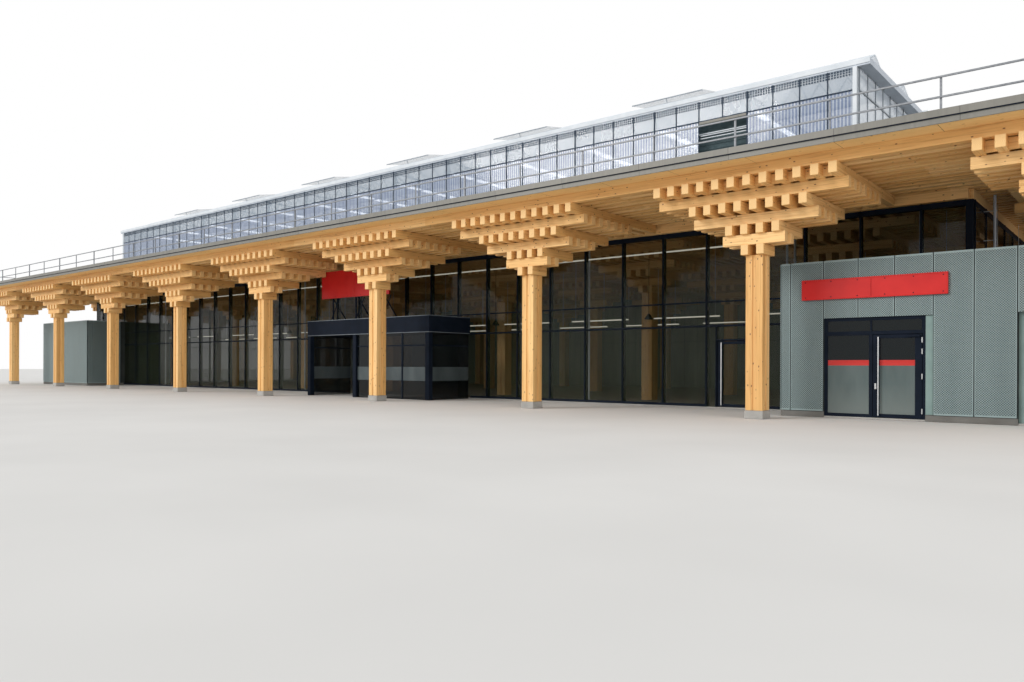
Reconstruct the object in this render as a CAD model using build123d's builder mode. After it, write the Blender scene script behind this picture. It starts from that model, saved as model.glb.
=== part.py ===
import os
from math import atan, degrees

from build123d import *

os.makedirs("parts", exist_ok=True)

# Single-storey market hall under a stacked-timber roof, with a greenhouse on top.
# Model scale 1:2, so a real bay of 9 m is 4500 mm here. All lengths are model millimetres.
# X runs along the front, Y into the building, Z up. The origin is the footprint's centre
# at floor level. The front faces -Y.

# Column grid and timber module
bay = 4500.0
bays_long = 8
bays_deep = 4
module = 250.0
beam_width = 120.0
beam_height = 160.0
column_width = 275.0
column_groove = 60.0
groove_depth = 20.0
column_top = 2550.0
foot_width = 300.0
foot_height = 125.0
beam_gap = 20.0

# Roof
roof_overhang = 1100.0
joist_overhang = 750.0
deck_thickness = 70.0
fascia_thickness = 40.0
fascia_drop = 5.0
fascia_lower_height = 85.0
fascia_upper_height = 90.0
fascia_step = 20.0
bar_joint = 4.0

# Guard rail on the roof edge
rail_setback = 120.0
rail_size = 22.0
rail_height = 550.0
rail_post_size = 25.0
rail_post_pitch = 2750.0

# Hall walls
hall_end = 16000.0
front_setback = 2475.0
mullion_pitch = 960.0
floor_thickness = 25.0
mullion_width = 40.0
mullion_depth = 90.0
transom_height = 40.0
glass_thickness = 14.0
pane_gap = 8.0
corner_post = 110.0
head_height = 90.0
transom_low = 1625.0
rear_wall_thickness = 125.0

# Exit door in the front glass wall
exit_left = 11460.0
exit_leaf_top = 1300.0
exit_sidelight = 170.0
door_post = 40.0
leaf_clearance = 8.0
stile_width = 95.0
leaf_rail = 55.0
leaf_thickness = 36.0
bar_width = 16.0
bar_standoff = 30.0
bar_length = 1215.0
bar_lift = 30.0
hinge_radius = 7.0
hinge_length = 60.0
hinge_standoff = 12.0
hinge_plate = 4.0
hinge_lug = 22.0
hinge_places = (0.09, 0.5, 0.93)

# Service boxes at the two ends of the front
box_inner_end = 13500.0
box_width = 4250.0
box_front_reach = 1000.0
box_depth = 3300.0
box_height = 2475.0
box_wall = 100.0
cladding_thickness = 20.0
cladding_air = 15.0
cladding_bottom = 100.0
cladding_pitch = 532.0
cladding_first = 150.0
cladding_gap = 8.0

# Pick-up entrance in the right service box
pickup_left = 14190.0
pickup_width = 1480.0
pickup_frame_width = 40.0
pickup_height = 1590.0
pickup_mullion = 14900.0
pickup_transom = 1340.0
delivery_width = 760.0
delivery_margin = 40.0

# Entrance porch
porch_left = 475.0
porch_width = 4675.0
porch_height = 2000.0
porch_fascia = 400.0
porch_post = 125.0
porch_roof = 40.0
porch_split = 1900.0

# Sign panels
sign_left = 727.0
sign_width = 2707.0
sign_bottom = 2603.0
sign_height = 725.0
sign_thickness = 40.0
sign_setback = 280.0
strut_size = 30.0
pickup_sign_left = 13850.0
pickup_sign_width = 2130.0
pickup_sign_bottom = 1890.0
pickup_sign_height = 325.0

# Greenhouse
house_half_length = 14200.0
house_setback = 2750.0
house_eaves = 6250.0
house_spans = 6
house_bays = 14
ridge_rise = 420.0
eave_width = 220.0
gutter_width = 150.0
gutter_height = 110.0
house_post = 60.0
house_glass = 14.0
house_rail_drop = 415.0
house_rail = 30.0
house_panels = 4
window_bay = 12
window_panels = 2
window_height = 625.0
ridge_gap = 8.0
vent_length = 1700.0
vent_width = 630.0
vent_angle = 13.0

# Derived places
end_line = bay * bays_long / 2
front_line = -bay * bays_deep / 2
grid_x = [-end_line + bay * i for i in range(bays_long + 1)]
grid_y = [front_line + bay * i for i in range(bays_deep + 1)]
joist_level = 7
joist_bottom = column_top + joist_level * beam_height
joist_top = joist_bottom + beam_height
deck_top = joist_top + deck_thickness
roof_x = end_line + roof_overhang
roof_y = -front_line + roof_overhang
glass_y = front_line + front_setback
rear_y = -glass_y
header_bottom = joist_bottom - beam_height
head_bottom = header_bottom - head_height
box_front_y = front_line + box_front_reach
box_back_y = box_front_y + box_depth
box_outer_end = box_inner_end + box_width
skin_y = glass_y - mullion_depth / 2

# Stacked capitals: the beams of the even layers run along Y, those of the odd layers along X.
# side_beams: beams either side of the column; reach: length to one side in half modules;
# edge_beams and edge_reach: the same on a side that looks outdoors.
side_beams = (1, 1, 2, 3, 4, 5, 6)
edge_beams = (1, 1, 1, 1, 2, 2, 3)
reach = (1.8, 4, 6, 8, 10, 12, 18)
edge_reach = (1.8, 2, 2, 4, 4, 6, 6)


def block(x_range, y_range, z_range):
    """Adds one rectangular block between the given limits to the open part."""
    width = x_range[1] - x_range[0]
    depth = y_range[1] - y_range[0]
    height = z_range[1] - z_range[0]
    with Locations((x_range[0], y_range[0], z_range[0])):
        Box(width, depth, height, align=(Align.MIN, Align.MIN, Align.MIN))


def write(part, name):
    """Labels a finished piece and writes its STEP file."""
    part.label = name
    export_step(part, f"parts/{name}.step")


def offsets(layer, outdoors_low, outdoors_high):
    """Places of a layer's beams across their length, from one side to the other."""
    low = edge_beams[layer] if outdoors_low else side_beams[layer]
    high = edge_beams[layer] if outdoors_high else side_beams[layer]
    return [module * (i + 0.5) for i in range(-round(low), round(high))]


def ends(layer, outdoors_low, outdoors_high):
    """The two ends of a layer's beams along their length."""
    low = edge_reach[layer] if outdoors_low else reach[layer]
    high = edge_reach[layer] if outdoors_high else reach[layer]
    longest = bay / 2 - beam_gap
    return -min(low * module / 2, longest), min(high * module / 2, longest)


def tree_layer(layer, centres):
    """Draws one layer of the capitals over the given columns and raises it to its height."""
    with BuildSketch(Plane.XY.offset(column_top + layer * beam_height)) as plan:
        for x, y in centres:
            left, right = x <= -end_line, x >= end_line
            front, back = y <= front_line, y >= -front_line
            if layer % 2:
                start, stop = ends(layer, left, right)
                with Locations(*[((start + stop) / 2 + x, y + o) for o in offsets(layer, front, back)]):
                    Rectangle(stop - start, beam_width)
            else:
                start, stop = ends(layer, front, back)
                with Locations(*[(x + o, (start + stop) / 2 + y) for o in offsets(layer, left, right)]):
                    Rectangle(beam_width, stop - start)
    extrude(plan.sketch, amount=beam_height)


def column_profile():
    """Draws a post made of four square timbers with a sunk strip in each face."""
    Rectangle(column_width, column_width)
    with PolarLocations(column_width / 2, 4):
        Rectangle(groove_depth * 2, column_groove, mode=Mode.SUBTRACT)


front_centres = [(x, front_line) for x in grid_x]
side_centres = [(x, y) for y in grid_y[1:-1] for x in (-end_line, end_line)]
rear_centres = [(x, -front_line) for x in grid_x]
inner_centres = [(x, y) for y in grid_y[1:-1] for x in grid_x[1:-1]]
outer_centres = front_centres + side_centres

# Columns and their concrete feet
with BuildPart() as column_feet:
    with BuildSketch():
        with Locations(*(outer_centres + rear_centres)):
            Rectangle(foot_width, foot_width)
    extrude(amount=foot_height)
write(column_feet.part, "column_feet")

with BuildPart() as outer_columns:
    with BuildSketch(Plane.XY.offset(foot_height)) as outline:
        column_profile()
    extrude(amount=column_top - foot_height)
with BuildPart() as grooved_columns:
    with Locations(*outer_centres):
        add(outer_columns.part)
write(grooved_columns.part, "outer_columns")

with BuildPart() as inner_columns:
    with BuildSketch(Plane.XY.offset(floor_thickness)):
        with Locations(*inner_centres):
            Rectangle(column_width, column_width)
    extrude(amount=column_top - floor_thickness)
    with BuildSketch(Plane.XY.offset(foot_height)):
        with Locations(*rear_centres):
            Rectangle(column_width, column_width)
    extrude(amount=column_top - foot_height)
write(inner_columns.part, "inner_columns")

# Stacked timber capitals of the front row and of the two ends
with BuildPart() as cross_beams:
    for layer in (0, 2, 4, 6):
        tree_layer(layer, outer_centres)
write(cross_beams.part, "cross_beams")

with BuildPart() as long_beams:
    for layer in (1, 3, 5):
        tree_layer(layer, outer_centres)
write(long_beams.part, "long_beams")

# Roof joists run the whole length of the building on every module line
joist_rows = int((joist_overhang - front_line) / module + 0.5)
with BuildPart() as roof_joists:
    with BuildSketch(Plane.XY.offset(joist_bottom)):
        with Locations(*[(0, module * (i + 0.5)) for i in range(-joist_rows, joist_rows)]):
            Rectangle(2 * (end_line + joist_overhang), beam_width)
    extrude(amount=beam_height)
write(roof_joists.part, "roof_joists")

with BuildPart() as roof_deck:
    with BuildSketch(Plane.XY.offset(joist_top)):
        Rectangle(2 * (roof_x - fascia_thickness), 2 * (roof_y - fascia_thickness))
    extrude(amount=deck_thickness)
write(roof_deck.part, "roof_deck")


def edge_bars(outside, thickness, bottom, height):
    """Four straight bars round the roof edge, with open joints at the corners."""
    half_long, half_deep = roof_x - outside, roof_y - outside
    end_stop = half_deep - thickness - bar_joint
    for side in (-1, 1):
        near, far = sorted((side * half_deep, side * (half_deep - thickness)))
        block((-half_long, half_long), (near, far), (bottom, bottom + height))
        near, far = sorted((side * half_long, side * (half_long - thickness)))
        block((near, far), (-end_stop, end_stop), (bottom, bottom + height))


fascia_bottom = joist_top + fascia_drop
fascia_joint = fascia_bottom + fascia_lower_height
with BuildPart() as roof_fascia:
    edge_bars(fascia_step, fascia_thickness - fascia_step, fascia_bottom, fascia_lower_height)
    edge_bars(0, fascia_thickness, fascia_joint, fascia_upper_height)
write(roof_fascia.part, "roof_fascia")

# Guard rail: posts on the deck with two rails on their outer faces
rail_x = roof_x - rail_setback
rail_y = roof_y - rail_setback
posts_long = round(2 * rail_x / rail_post_pitch)
posts_deep = round(2 * rail_y / rail_post_pitch)
post_places = [(-rail_x + 2 * rail_x * i / posts_long, s * rail_y) for i in range(posts_long + 1) for s in (-1, 1)]
post_places += [(s * rail_x, -rail_y + 2 * rail_y * i / posts_deep) for i in range(1, posts_deep) for s in (-1, 1)]
with BuildPart() as guard_posts:
    with BuildSketch(Plane.XY.offset(deck_top)):
        with Locations(*post_places):
            Rectangle(rail_post_size, rail_post_size)
    extrude(amount=rail_height)
write(guard_posts.part, "guard_posts")

with BuildPart() as guard_rails:
    for level in (deck_top + rail_height / 2, deck_top + rail_height - rail_size):
        edge_bars(rail_setback - rail_post_size / 2 - rail_size, rail_size, level, rail_size)
write(guard_rails.part, "guard_rails")

# Floor slabs of the hall and of the service boxes, parted by movement joints
front_wall_y = box_front_y + cladding_thickness + cladding_air
slab_front = skin_y - glass_thickness
slab_end = hall_end + mullion_depth / 2
with BuildPart() as floor_slab:
    block((-slab_end, slab_end), (slab_front, rear_y), (0, floor_thickness))
    for side in (-1, 1):
        near, far = sorted((side * box_inner_end, side * box_outer_end))
        block((near, far), (front_wall_y, slab_front - bar_joint), (0, floor_thickness))
        near, far = sorted((side * (slab_end + bar_joint), side * box_outer_end))
        block((near, far), (slab_front, box_back_y), (0, floor_thickness))
write(floor_slab.part, "floor_slab")

# Front glass wall: posts, rails and panes stand on the floor slab
mullion_count_left = int((hall_end + exit_left - corner_post) / mullion_pitch)
mullion_count_right = int((hall_end - exit_left - corner_post) / mullion_pitch)
mullions = [exit_left + mullion_pitch * i for i in range(-mullion_count_left, mullion_count_right + 1)]
porch_right = porch_left + porch_width
exit_right = exit_left + mullion_pitch
door_post_left = exit_left + mullion_width / 2 + exit_sidelight
door_post_right = door_post_left + door_post
exit_head = exit_leaf_top + leaf_clearance


def wall_bottom(x):
    """Where the front glass starts: on the floor, or above a service box."""
    return box_height + porch_roof if abs(x) > box_inner_end - mullion_width else floor_thickness


with BuildPart() as front_mullions:
    for x in mullions:
        if porch_left - mullion_width < x < porch_right + mullion_width and porch_left < x:
            bottom = porch_height
        else:
            bottom = wall_bottom(x)
        block((x - mullion_width / 2, x + mullion_width / 2), (skin_y, skin_y + mullion_depth), (bottom, head_bottom))
    for side in (-1, 1):
        x = side * hall_end
        block(
            (x - corner_post / 2, x + corner_post / 2),
            (skin_y, skin_y + corner_post),
            (box_height + porch_roof, header_bottom),
        )
    post_top = transom_low - transom_height
    block((door_post_left, door_post_right), (skin_y, skin_y + mullion_depth), (floor_thickness, post_top))
write(front_mullions.part, "front_mullions")

edges = [-hall_end + corner_post / 2] + mullions + [hall_end - corner_post / 2]
with BuildPart() as front_rails:
    for left, right in zip(edges, edges[1:]):
        inner = (left + mullion_width / 2, right - mullion_width / 2)
        middle = (left + right) / 2
        in_porch = porch_left < middle < porch_right
        if abs(middle) < box_inner_end and not in_porch:
            block(inner, (skin_y, skin_y + mullion_depth), (transom_low - transom_height, transom_low))
    inside = hall_end - corner_post / 2
    block((-inside, inside), (skin_y, skin_y + mullion_depth), (head_bottom, header_bottom))
    block(
        (door_post_right, exit_right - mullion_width / 2),
        (skin_y, skin_y + mullion_depth),
        (exit_head, exit_head + transom_height),
    )
write(front_rails.part, "front_rails")

with BuildPart() as front_panes:
    for left, right in zip(edges, edges[1:]):
        middle = (left + right) / 2
        bottom = max(wall_bottom(left), wall_bottom(right))
        if porch_left < middle < porch_right:
            bottom = porch_height + pane_gap
        if exit_left <= left < exit_right:
            bottom = transom_low
        block(
            (left + pane_gap / 2, right - pane_gap / 2),
            (skin_y - glass_thickness, skin_y),
            (bottom, header_bottom - pane_gap),
        )
        clad_end = box_inner_end - cladding_thickness - cladding_air
        low_edges = (max(left, -clad_end) + pane_gap / 2, min(right, clad_end) - pane_gap / 2)
        if bottom > box_height and low_edges[1] - low_edges[0] > pane_gap:
            block(low_edges, (skin_y - glass_thickness, skin_y), (floor_thickness, box_height))
    post_middle = (door_post_left + door_post_right) / 2
    for left, right, bottom in (
        (exit_left, post_middle, floor_thickness),
        (post_middle, exit_right, exit_head + transom_height / 2),
    ):
        block(
            (left + pane_gap / 2, right - pane_gap / 2),
            (skin_y - glass_thickness, skin_y),
            (bottom, transom_low - pane_gap),
        )
write(front_panes.part, "front_panes")

with BuildPart() as header_beams:
    header_y = front_line + bay / 2 + module / 2
    header_back = header_y + beam_width / 2
    block((-hall_end, hall_end), (header_y - beam_width / 2, header_back), (header_bottom, joist_bottom))
    for side in (-1, 1):
        near, far = sorted((side * (hall_end - beam_width / 2), side * (hall_end + beam_width / 2)))
        block((near, far), (header_back + bar_joint, rear_y), (header_bottom, joist_bottom))
write(header_beams.part, "header_beams")

# End walls: glass over the service boxes and behind them, on both ends of the hall
end_wall_start = skin_y + corner_post
end_wall_stop = rear_y - rear_wall_thickness
side_count = round((end_wall_stop - end_wall_start) / mullion_pitch)
side_step = (end_wall_stop - end_wall_start) / side_count
side_lines = [end_wall_start + side_step * i for i in range(side_count + 1)]


def side_bottom(y):
    """Where the end glass starts: on the floor, or above a service box."""
    return box_height + porch_roof if y < box_back_y + mullion_width else floor_thickness


with BuildPart() as side_mullions:
    for side in (-1, 1):
        inner, outer = sorted((side * (hall_end - mullion_depth / 2), side * (hall_end + mullion_depth / 2)))
        for y in side_lines[1:-1]:
            block((inner, outer), (y - mullion_width / 2, y + mullion_width / 2), (side_bottom(y), header_bottom))
write(side_mullions.part, "side_mullions")

with BuildPart() as side_panes:
    split = min(y for y in side_lines if y > box_back_y + mullion_width)
    for side in (-1, 1):
        face = side * (hall_end + mullion_depth / 2)
        near, far = sorted((face, face + side * glass_thickness))
        top = header_bottom - pane_gap
        block((near, far), (end_wall_start, split - pane_gap / 2), (box_height + porch_roof, top))
        block((near, far), (split + pane_gap / 2, end_wall_stop), (floor_thickness, top))
write(side_panes.part, "side_panes")

with BuildPart() as rear_wall:
    inside = hall_end - beam_width / 2
    block((-inside, inside), (rear_y - rear_wall_thickness, rear_y), (floor_thickness, joist_bottom))
write(rear_wall.part, "rear_wall")

# Exit door: a glazed leaf hung on its right edge, opening outwards
exit_hinge_x = exit_right - mullion_width / 2
leaf_left = door_post_right + leaf_clearance
leaf_right = exit_hinge_x - leaf_clearance
leaf_bottom = floor_thickness + leaf_clearance
exit_leaf_front = skin_y


def leaf_frame(left, right, bottom, top, front, name):
    """A door leaf: stiles and rails as a picture frame, with hinge barrels on its right edge."""
    hinge_x = right + leaf_clearance / 2
    with BuildPart() as frame:
        with BuildSketch(Plane.XZ.offset(-front)):
            with Locations(((left + right) / 2, (bottom + top) / 2)):
                Rectangle(right - left, top - bottom)
                Rectangle(right - left - 2 * stile_width, top - bottom - 2 * leaf_rail, mode=Mode.SUBTRACT)
        extrude(amount=-leaf_thickness)
        for place in hinge_places:
            level = bottom + (top - bottom) * place - hinge_length / 2
            with BuildSketch(Plane.XY.offset(level)):
                with Locations((hinge_x, front - hinge_standoff)):
                    Circle(hinge_radius)
            extrude(amount=hinge_length)
            lug = (hinge_x - hinge_lug, hinge_x - hinge_radius / 2)
            block(lug, (front - hinge_standoff - hinge_plate / 2, front), (level, level + hinge_length))
    write(frame.part, name)


def leaf_pane(left, right, bottom, top, front, name):
    """The glass held inside a leaf's frame."""
    with BuildPart() as pane:
        middle = front + leaf_thickness / 2
        block(
            (left + stile_width, right - stile_width),
            (middle - glass_thickness / 2, middle + glass_thickness / 2),
            (bottom + leaf_rail, top - leaf_rail),
        )
    write(pane.part, name)


def pull_bar(leaf_edge, bottom, front, name):
    """A long upright pull bar of square tube on two stand-offs, at the inner edge of the stile."""
    x = leaf_edge + stile_width - bar_width / 2
    with BuildPart() as bar:
        face = front - bar_standoff
        block((x - bar_width / 2, x + bar_width / 2), (face - bar_width, face), (bottom, bottom + bar_length))
        for level in (bottom + bar_length / 8, bottom + bar_length * 7 / 8):
            side = (x - bar_width / 3, x + bar_width / 3)
            block(side, (face - bar_width / 2, front), (level - bar_width / 3, level + bar_width / 3))
    write(bar.part, name)


leaf_frame(leaf_left, leaf_right, leaf_bottom, exit_leaf_top, exit_leaf_front, "exit_leaf")
leaf_pane(leaf_left, leaf_right, leaf_bottom, exit_leaf_top, exit_leaf_front, "exit_glass")
pull_bar(leaf_left, leaf_bottom + bar_lift, exit_leaf_front, "exit_pull")

# Service boxes: walls, roof and hung cladding, alike at both ends
pickup_right = pickup_left + pickup_width
inside_left = box_inner_end + box_wall
inside_right = box_outer_end - box_wall
delivery_right = inside_right - delivery_margin
delivery_left = delivery_right - delivery_width

with BuildPart() as box_side_walls:
    for side in (-1, 1):
        for face, turn in ((box_inner_end, 1), (box_outer_end, -1)):
            inner, outer = sorted((side * face, side * (face + turn * box_wall)))
            block((inner, outer), (front_wall_y, box_back_y - box_wall), (floor_thickness, box_height))
write(box_side_walls.part, "box_side_walls")

with BuildPart() as box_back_walls:
    for side in (-1, 1):
        inner, outer = sorted((side * box_inner_end, side * box_outer_end))
        block((inner, outer), (box_back_y - box_wall, box_back_y), (floor_thickness, box_height))
write(box_back_walls.part, "box_back_walls")

with BuildPart() as box_front_walls:
    wall_y = (front_wall_y, front_wall_y + box_wall)
    block((-inside_right, -inside_left), wall_y, (floor_thickness, box_height))
    with BuildSketch(Plane.XZ.offset(-front_wall_y)):
        with Locations(((inside_left + inside_right) / 2, (floor_thickness + box_height) / 2)):
            Rectangle(inside_right - inside_left, box_height - floor_thickness)
        for left, width in ((pickup_left, pickup_width), (delivery_left, delivery_width)):
            with Locations((left + width / 2, pickup_height / 2)):
                Rectangle(width, pickup_height, mode=Mode.SUBTRACT)
    extrude(amount=-box_wall)
write(box_front_walls.part, "box_front_walls")

with BuildPart() as box_roofs:
    for side in (-1, 1):
        inner, outer = sorted((side * box_inner_end, side * box_outer_end))
        block((inner, outer), (front_wall_y, box_back_y), (box_height, box_height + porch_roof))
write(box_roofs.part, "box_roofs")


def cladding_row(start, stop):
    """Left and right edges of the hung panels between two ends."""
    first = start + cladding_first
    count = int((stop - first) / cladding_pitch)
    lines = [start, first] + [first + cladding_pitch * i for i in range(1, count + 1)]
    if stop - lines[-1] > cladding_gap * 4:
        lines.append(stop)
    return list(zip(lines, lines[1:]))


panel_y = (box_front_y, box_front_y + cladding_thickness)
with BuildPart() as front_cladding:
    for left, right in cladding_row(box_inner_end, box_outer_end):
        middle = (left + right) / 2
        over_door = pickup_left < middle < pickup_right or delivery_left < middle < delivery_right
        for side in (-1, 1):
            bottom = pickup_height if over_door and side > 0 else cladding_bottom
            inner, outer = sorted((side * (left + cladding_gap / 2), side * (right - cladding_gap / 2)))
            block((inner, outer), panel_y, (bottom, box_height + porch_roof))
write(front_cladding.part, "front_cladding")

with BuildPart() as side_cladding:
    rows_y = cladding_row(front_wall_y, box_back_y)
    for side in (-1, 1):
        for face, turn in ((box_inner_end, -1), (box_outer_end, 1)):
            near = face + turn * cladding_air
            inner, outer = sorted((side * near, side * (near + turn * cladding_thickness)))
            for start, stop in rows_y:
                if face == box_inner_end and stop > skin_y - glass_thickness:
                    continue
                block(
                    (inner, outer),
                    (start + cladding_gap / 2, stop - cladding_gap / 2),
                    (cladding_bottom, box_height + porch_roof),
                )
write(side_cladding.part, "side_cladding")

# Pick-up entrance: fixed pane on the left, hinged leaf on the right, glass over both
jamb = pickup_frame_width
pickup_frame_front = front_wall_y
with BuildPart() as pickup_frame:
    with BuildSketch(Plane.XZ.offset(-pickup_frame_front)):
        with Locations(((pickup_left + pickup_right) / 2, (floor_thickness + pickup_height) / 2)):
            Rectangle(pickup_width, pickup_height - floor_thickness)
        for left, right, bottom, top in (
            (pickup_left + jamb, pickup_mullion - jamb / 2, floor_thickness + jamb, pickup_transom - jamb / 2),
            (pickup_mullion + jamb / 2, pickup_right - jamb, floor_thickness, pickup_transom - jamb / 2),
            (pickup_left + jamb, pickup_right - jamb, pickup_transom + jamb / 2, pickup_height - jamb),
        ):
            with Locations(((left + right) / 2, (bottom + top) / 2)):
                Rectangle(right - left, top - bottom, mode=Mode.SUBTRACT)
    extrude(amount=-box_wall)
write(pickup_frame.part, "pickup_frame")

pickup_leaf_left = pickup_mullion + jamb / 2 + leaf_clearance
pickup_leaf_right = pickup_right - jamb - leaf_clearance
pickup_leaf_top = pickup_transom - jamb / 2 - leaf_clearance
leaf_frame(pickup_leaf_left, pickup_leaf_right, leaf_bottom, pickup_leaf_top, pickup_frame_front, "pickup_leaf")
leaf_pane(pickup_leaf_left, pickup_leaf_right, leaf_bottom, pickup_leaf_top, pickup_frame_front, "pickup_glass")
pull_bar(pickup_leaf_left, leaf_bottom + bar_lift, pickup_frame_front, "pickup_pull")

with BuildPart() as pickup_fixed_panes:
    pane_y = (pickup_frame_front + glass_thickness, pickup_frame_front + 2 * glass_thickness)
    block(
        (pickup_left + jamb, pickup_mullion - jamb / 2),
        pane_y,
        (floor_thickness + jamb, pickup_transom - jamb / 2),
    )
    block((pickup_left + jamb, pickup_right - jamb), pane_y, (pickup_transom + jamb / 2, pickup_height - jamb))
write(pickup_fixed_panes.part, "pickup_fixed_panes")

with BuildPart() as delivery_door:
    door_y = front_wall_y + box_wall / 2
    block((delivery_left, delivery_right), (door_y, door_y + leaf_thickness), (floor_thickness, pickup_height))
write(delivery_door.part, "delivery_door")

# Entrance porch: dark posts and a deep fascia, open at the front left
porch_back = skin_y - glass_thickness
porch_front = box_front_y
with BuildPart() as porch_posts:
    for x in (porch_left, porch_left + porch_split, porch_right - porch_post):
        block((x, x + porch_post), (porch_front, porch_front + porch_post), (0, porch_height - porch_fascia))
write(porch_posts.part, "porch_posts")

with BuildPart() as porch_canopy:
    with BuildSketch(Plane.XY.offset(porch_height - porch_fascia)):
        with Locations(((porch_left + porch_right) / 2, (porch_front + porch_back) / 2)):
            Rectangle(porch_width, porch_back - porch_front)
    extrude(amount=porch_fascia)
    with BuildSketch(Plane.XY.offset(porch_height)):
        with Locations(((porch_left + porch_right) / 2, (porch_front + porch_post + porch_back) / 2)):
            Rectangle(porch_width - 2 * porch_post, porch_back - porch_front - porch_post)
    extrude(amount=porch_roof - porch_fascia, mode=Mode.SUBTRACT)
write(porch_canopy.part, "porch_canopy")

with BuildPart() as porch_panes:
    pane_top = porch_height - porch_fascia
    middle = porch_front + porch_post / 2
    block(
        (porch_left + porch_split + porch_post, porch_right - porch_post),
        (middle - glass_thickness / 2, middle + glass_thickness / 2),
        (0, pane_top),
    )
    for x in (porch_left + porch_post / 2, porch_right - porch_post / 2):
        block(
            (x - glass_thickness / 2, x + glass_thickness / 2),
            (porch_front + porch_post, porch_back),
            (0, pane_top),
        )
write(porch_panes.part, "porch_panes")

# Plain sign panels over the porch and on the right service box
sign_front = porch_front + sign_setback
with BuildPart() as sign_panels:
    block(
        (sign_left, sign_left + sign_width),
        (sign_front, sign_front + sign_thickness),
        (sign_bottom, sign_bottom + sign_height),
    )
    block(
        (pickup_sign_left, pickup_sign_left + pickup_sign_width),
        (box_front_y - sign_thickness, box_front_y),
        (pickup_sign_bottom, pickup_sign_bottom + pickup_sign_height),
    )
write(sign_panels.part, "sign_panels")

with BuildPart() as sign_struts:
    for part_of in (0.15, 0.5, 0.85):
        x = sign_left + sign_width * part_of
        behind = sign_front + sign_thickness
        block((x, x + strut_size), (behind, behind + strut_size), (porch_height, sign_bottom + sign_height))
write(sign_struts.part, "sign_struts")

# Greenhouse on the roof: gutters along X carry the ridges between them
house_front = front_line + house_setback
house_back = -house_front
span = (house_back - house_front) / house_spans
gutter_lines = [house_front + span * i for i in range(house_spans + 1)]
house_bay = 2 * house_half_length / house_bays
bay_lines = [-house_half_length + house_bay * i for i in range(house_bays + 1)]
gutter_bottom = house_eaves - gutter_height
house_rail_height = gutter_bottom - house_rail_drop

with BuildPart() as house_gutters:
    with BuildSketch(Plane.XY.offset(gutter_bottom)):
        with Locations(*[(0, y) for y in gutter_lines]):
            Rectangle(2 * house_half_length, gutter_width)
    extrude(amount=gutter_height)
write(house_gutters.part, "house_gutters")

with BuildPart() as house_posts:
    post_reach = house_half_length - house_post / 2
    with BuildSketch(Plane.XY.offset(deck_top)):
        rim = [(x, y) for x in bay_lines for y in (house_front, house_back)]
        inner = [(x, y) for y in gutter_lines[1:-1] for x in bay_lines[::3] + bay_lines[-1:]]
        with Locations(*[(max(min(x, post_reach), -post_reach), y) for x, y in rim + inner]):
            Rectangle(house_post, house_post)
    extrude(amount=gutter_bottom - deck_top)
write(house_posts.part, "house_posts")

post_face = house_back + house_post / 2
glass_line = post_face + house_rail
with BuildPart() as house_trim:
    for side in (-1, 1):
        near, far = sorted((side * post_face, side * glass_line))
        block(
            (-house_half_length, house_half_length),
            (near, far),
            (house_rail_height, house_rail_height + house_rail),
        )
        near, far = sorted((side * house_half_length, side * (house_half_length + eave_width)))
        eave_reach = house_back + gutter_width / 2
        block((near, far), (-eave_reach, eave_reach), (gutter_bottom, house_eaves))
write(house_trim.part, "house_trim")

# The front has one open window, the last panels of its bay, under the rail
window_bottom = house_rail_height - window_height
window_side = window_panels * house_bay / house_panels
with BuildPart() as house_long_glass:
    for bay_number, (start, stop) in enumerate(zip(bay_lines, bay_lines[1:])):
        left, right = start + pane_gap / 2, stop - pane_gap / 2
        block((left, right), (glass_line, glass_line + house_glass), (deck_top, gutter_bottom))
        front_y = (-glass_line - house_glass, -glass_line)
        if bay_number == window_bay:
            block((left, right - window_side), front_y, (deck_top, gutter_bottom))
            beside = (right - window_side + pane_gap, right)
            block(beside, front_y, (deck_top, window_bottom))
            block(beside, front_y, (house_rail_height, gutter_bottom))
        else:
            block((left, right), front_y, (deck_top, gutter_bottom))
write(house_long_glass.part, "house_long_glass")

with BuildPart() as house_end_glass:
    for side in (-1, 1):
        face = side * house_half_length
        near, far = sorted((face, face + side * house_glass))
        block((near, far), (house_front, house_back), (deck_top, gutter_bottom))
        with BuildSketch(Plane.YZ.offset(near)) as gables:
            for start, stop in zip(gutter_lines, gutter_lines[1:]):
                low, high = start + gutter_width / 2, stop - gutter_width / 2
                with BuildLine():
                    Polyline((low, house_eaves), (high, house_eaves), ((low + high) / 2, house_eaves + ridge_rise), close=True)
                make_face()
        extrude(gables.sketch, amount=house_glass)
write(house_end_glass.part, "house_end_glass")

# Each span's roof is two sloping glass sheets that lean from its gutters to the ridge
with BuildPart() as house_roofs:
    with BuildSketch(Plane.YZ.offset(-house_half_length)) as slopes:
        for line in gutter_lines[:-1]:
            middle = line + span / 2
            for side in (-1, 1):
                low = middle + side * (span - gutter_width) / 2
                high = middle + side * ridge_gap / 2
                with BuildLine():
                    Polyline(
                        (low, house_eaves - house_glass),
                        (low, house_eaves),
                        (high, house_eaves + ridge_rise),
                        (high, house_eaves + ridge_rise - house_glass),
                        close=True,
                    )
                make_face()
    extrude(slopes.sketch, amount=2 * house_half_length)
write(house_roofs.part, "house_roofs")

# Open vents hang from the ridge of the first span, one to every second bay
slope = atan(ridge_rise / (span / 2 - gutter_width / 2))
vent_tilt = degrees(slope) - vent_angle
first_ridge = gutter_lines[0] + span / 2
vent_seat = house_eaves + ridge_rise + house_glass / 2
with BuildPart() as roof_vents:
    for x in bay_lines[2:-1:2]:
        hinge_line = Plane(origin=(x, first_ridge, vent_seat), z_dir=(0, 0, 1))
        with BuildSketch(hinge_line.rotated((vent_tilt, 0, 0))) as flap:
            with Locations((0, -vent_width / 2)):
                Rectangle(vent_length, vent_width)
        extrude(flap.sketch, amount=house_glass)
write(roof_vents.part, "roof_vents")
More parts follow.
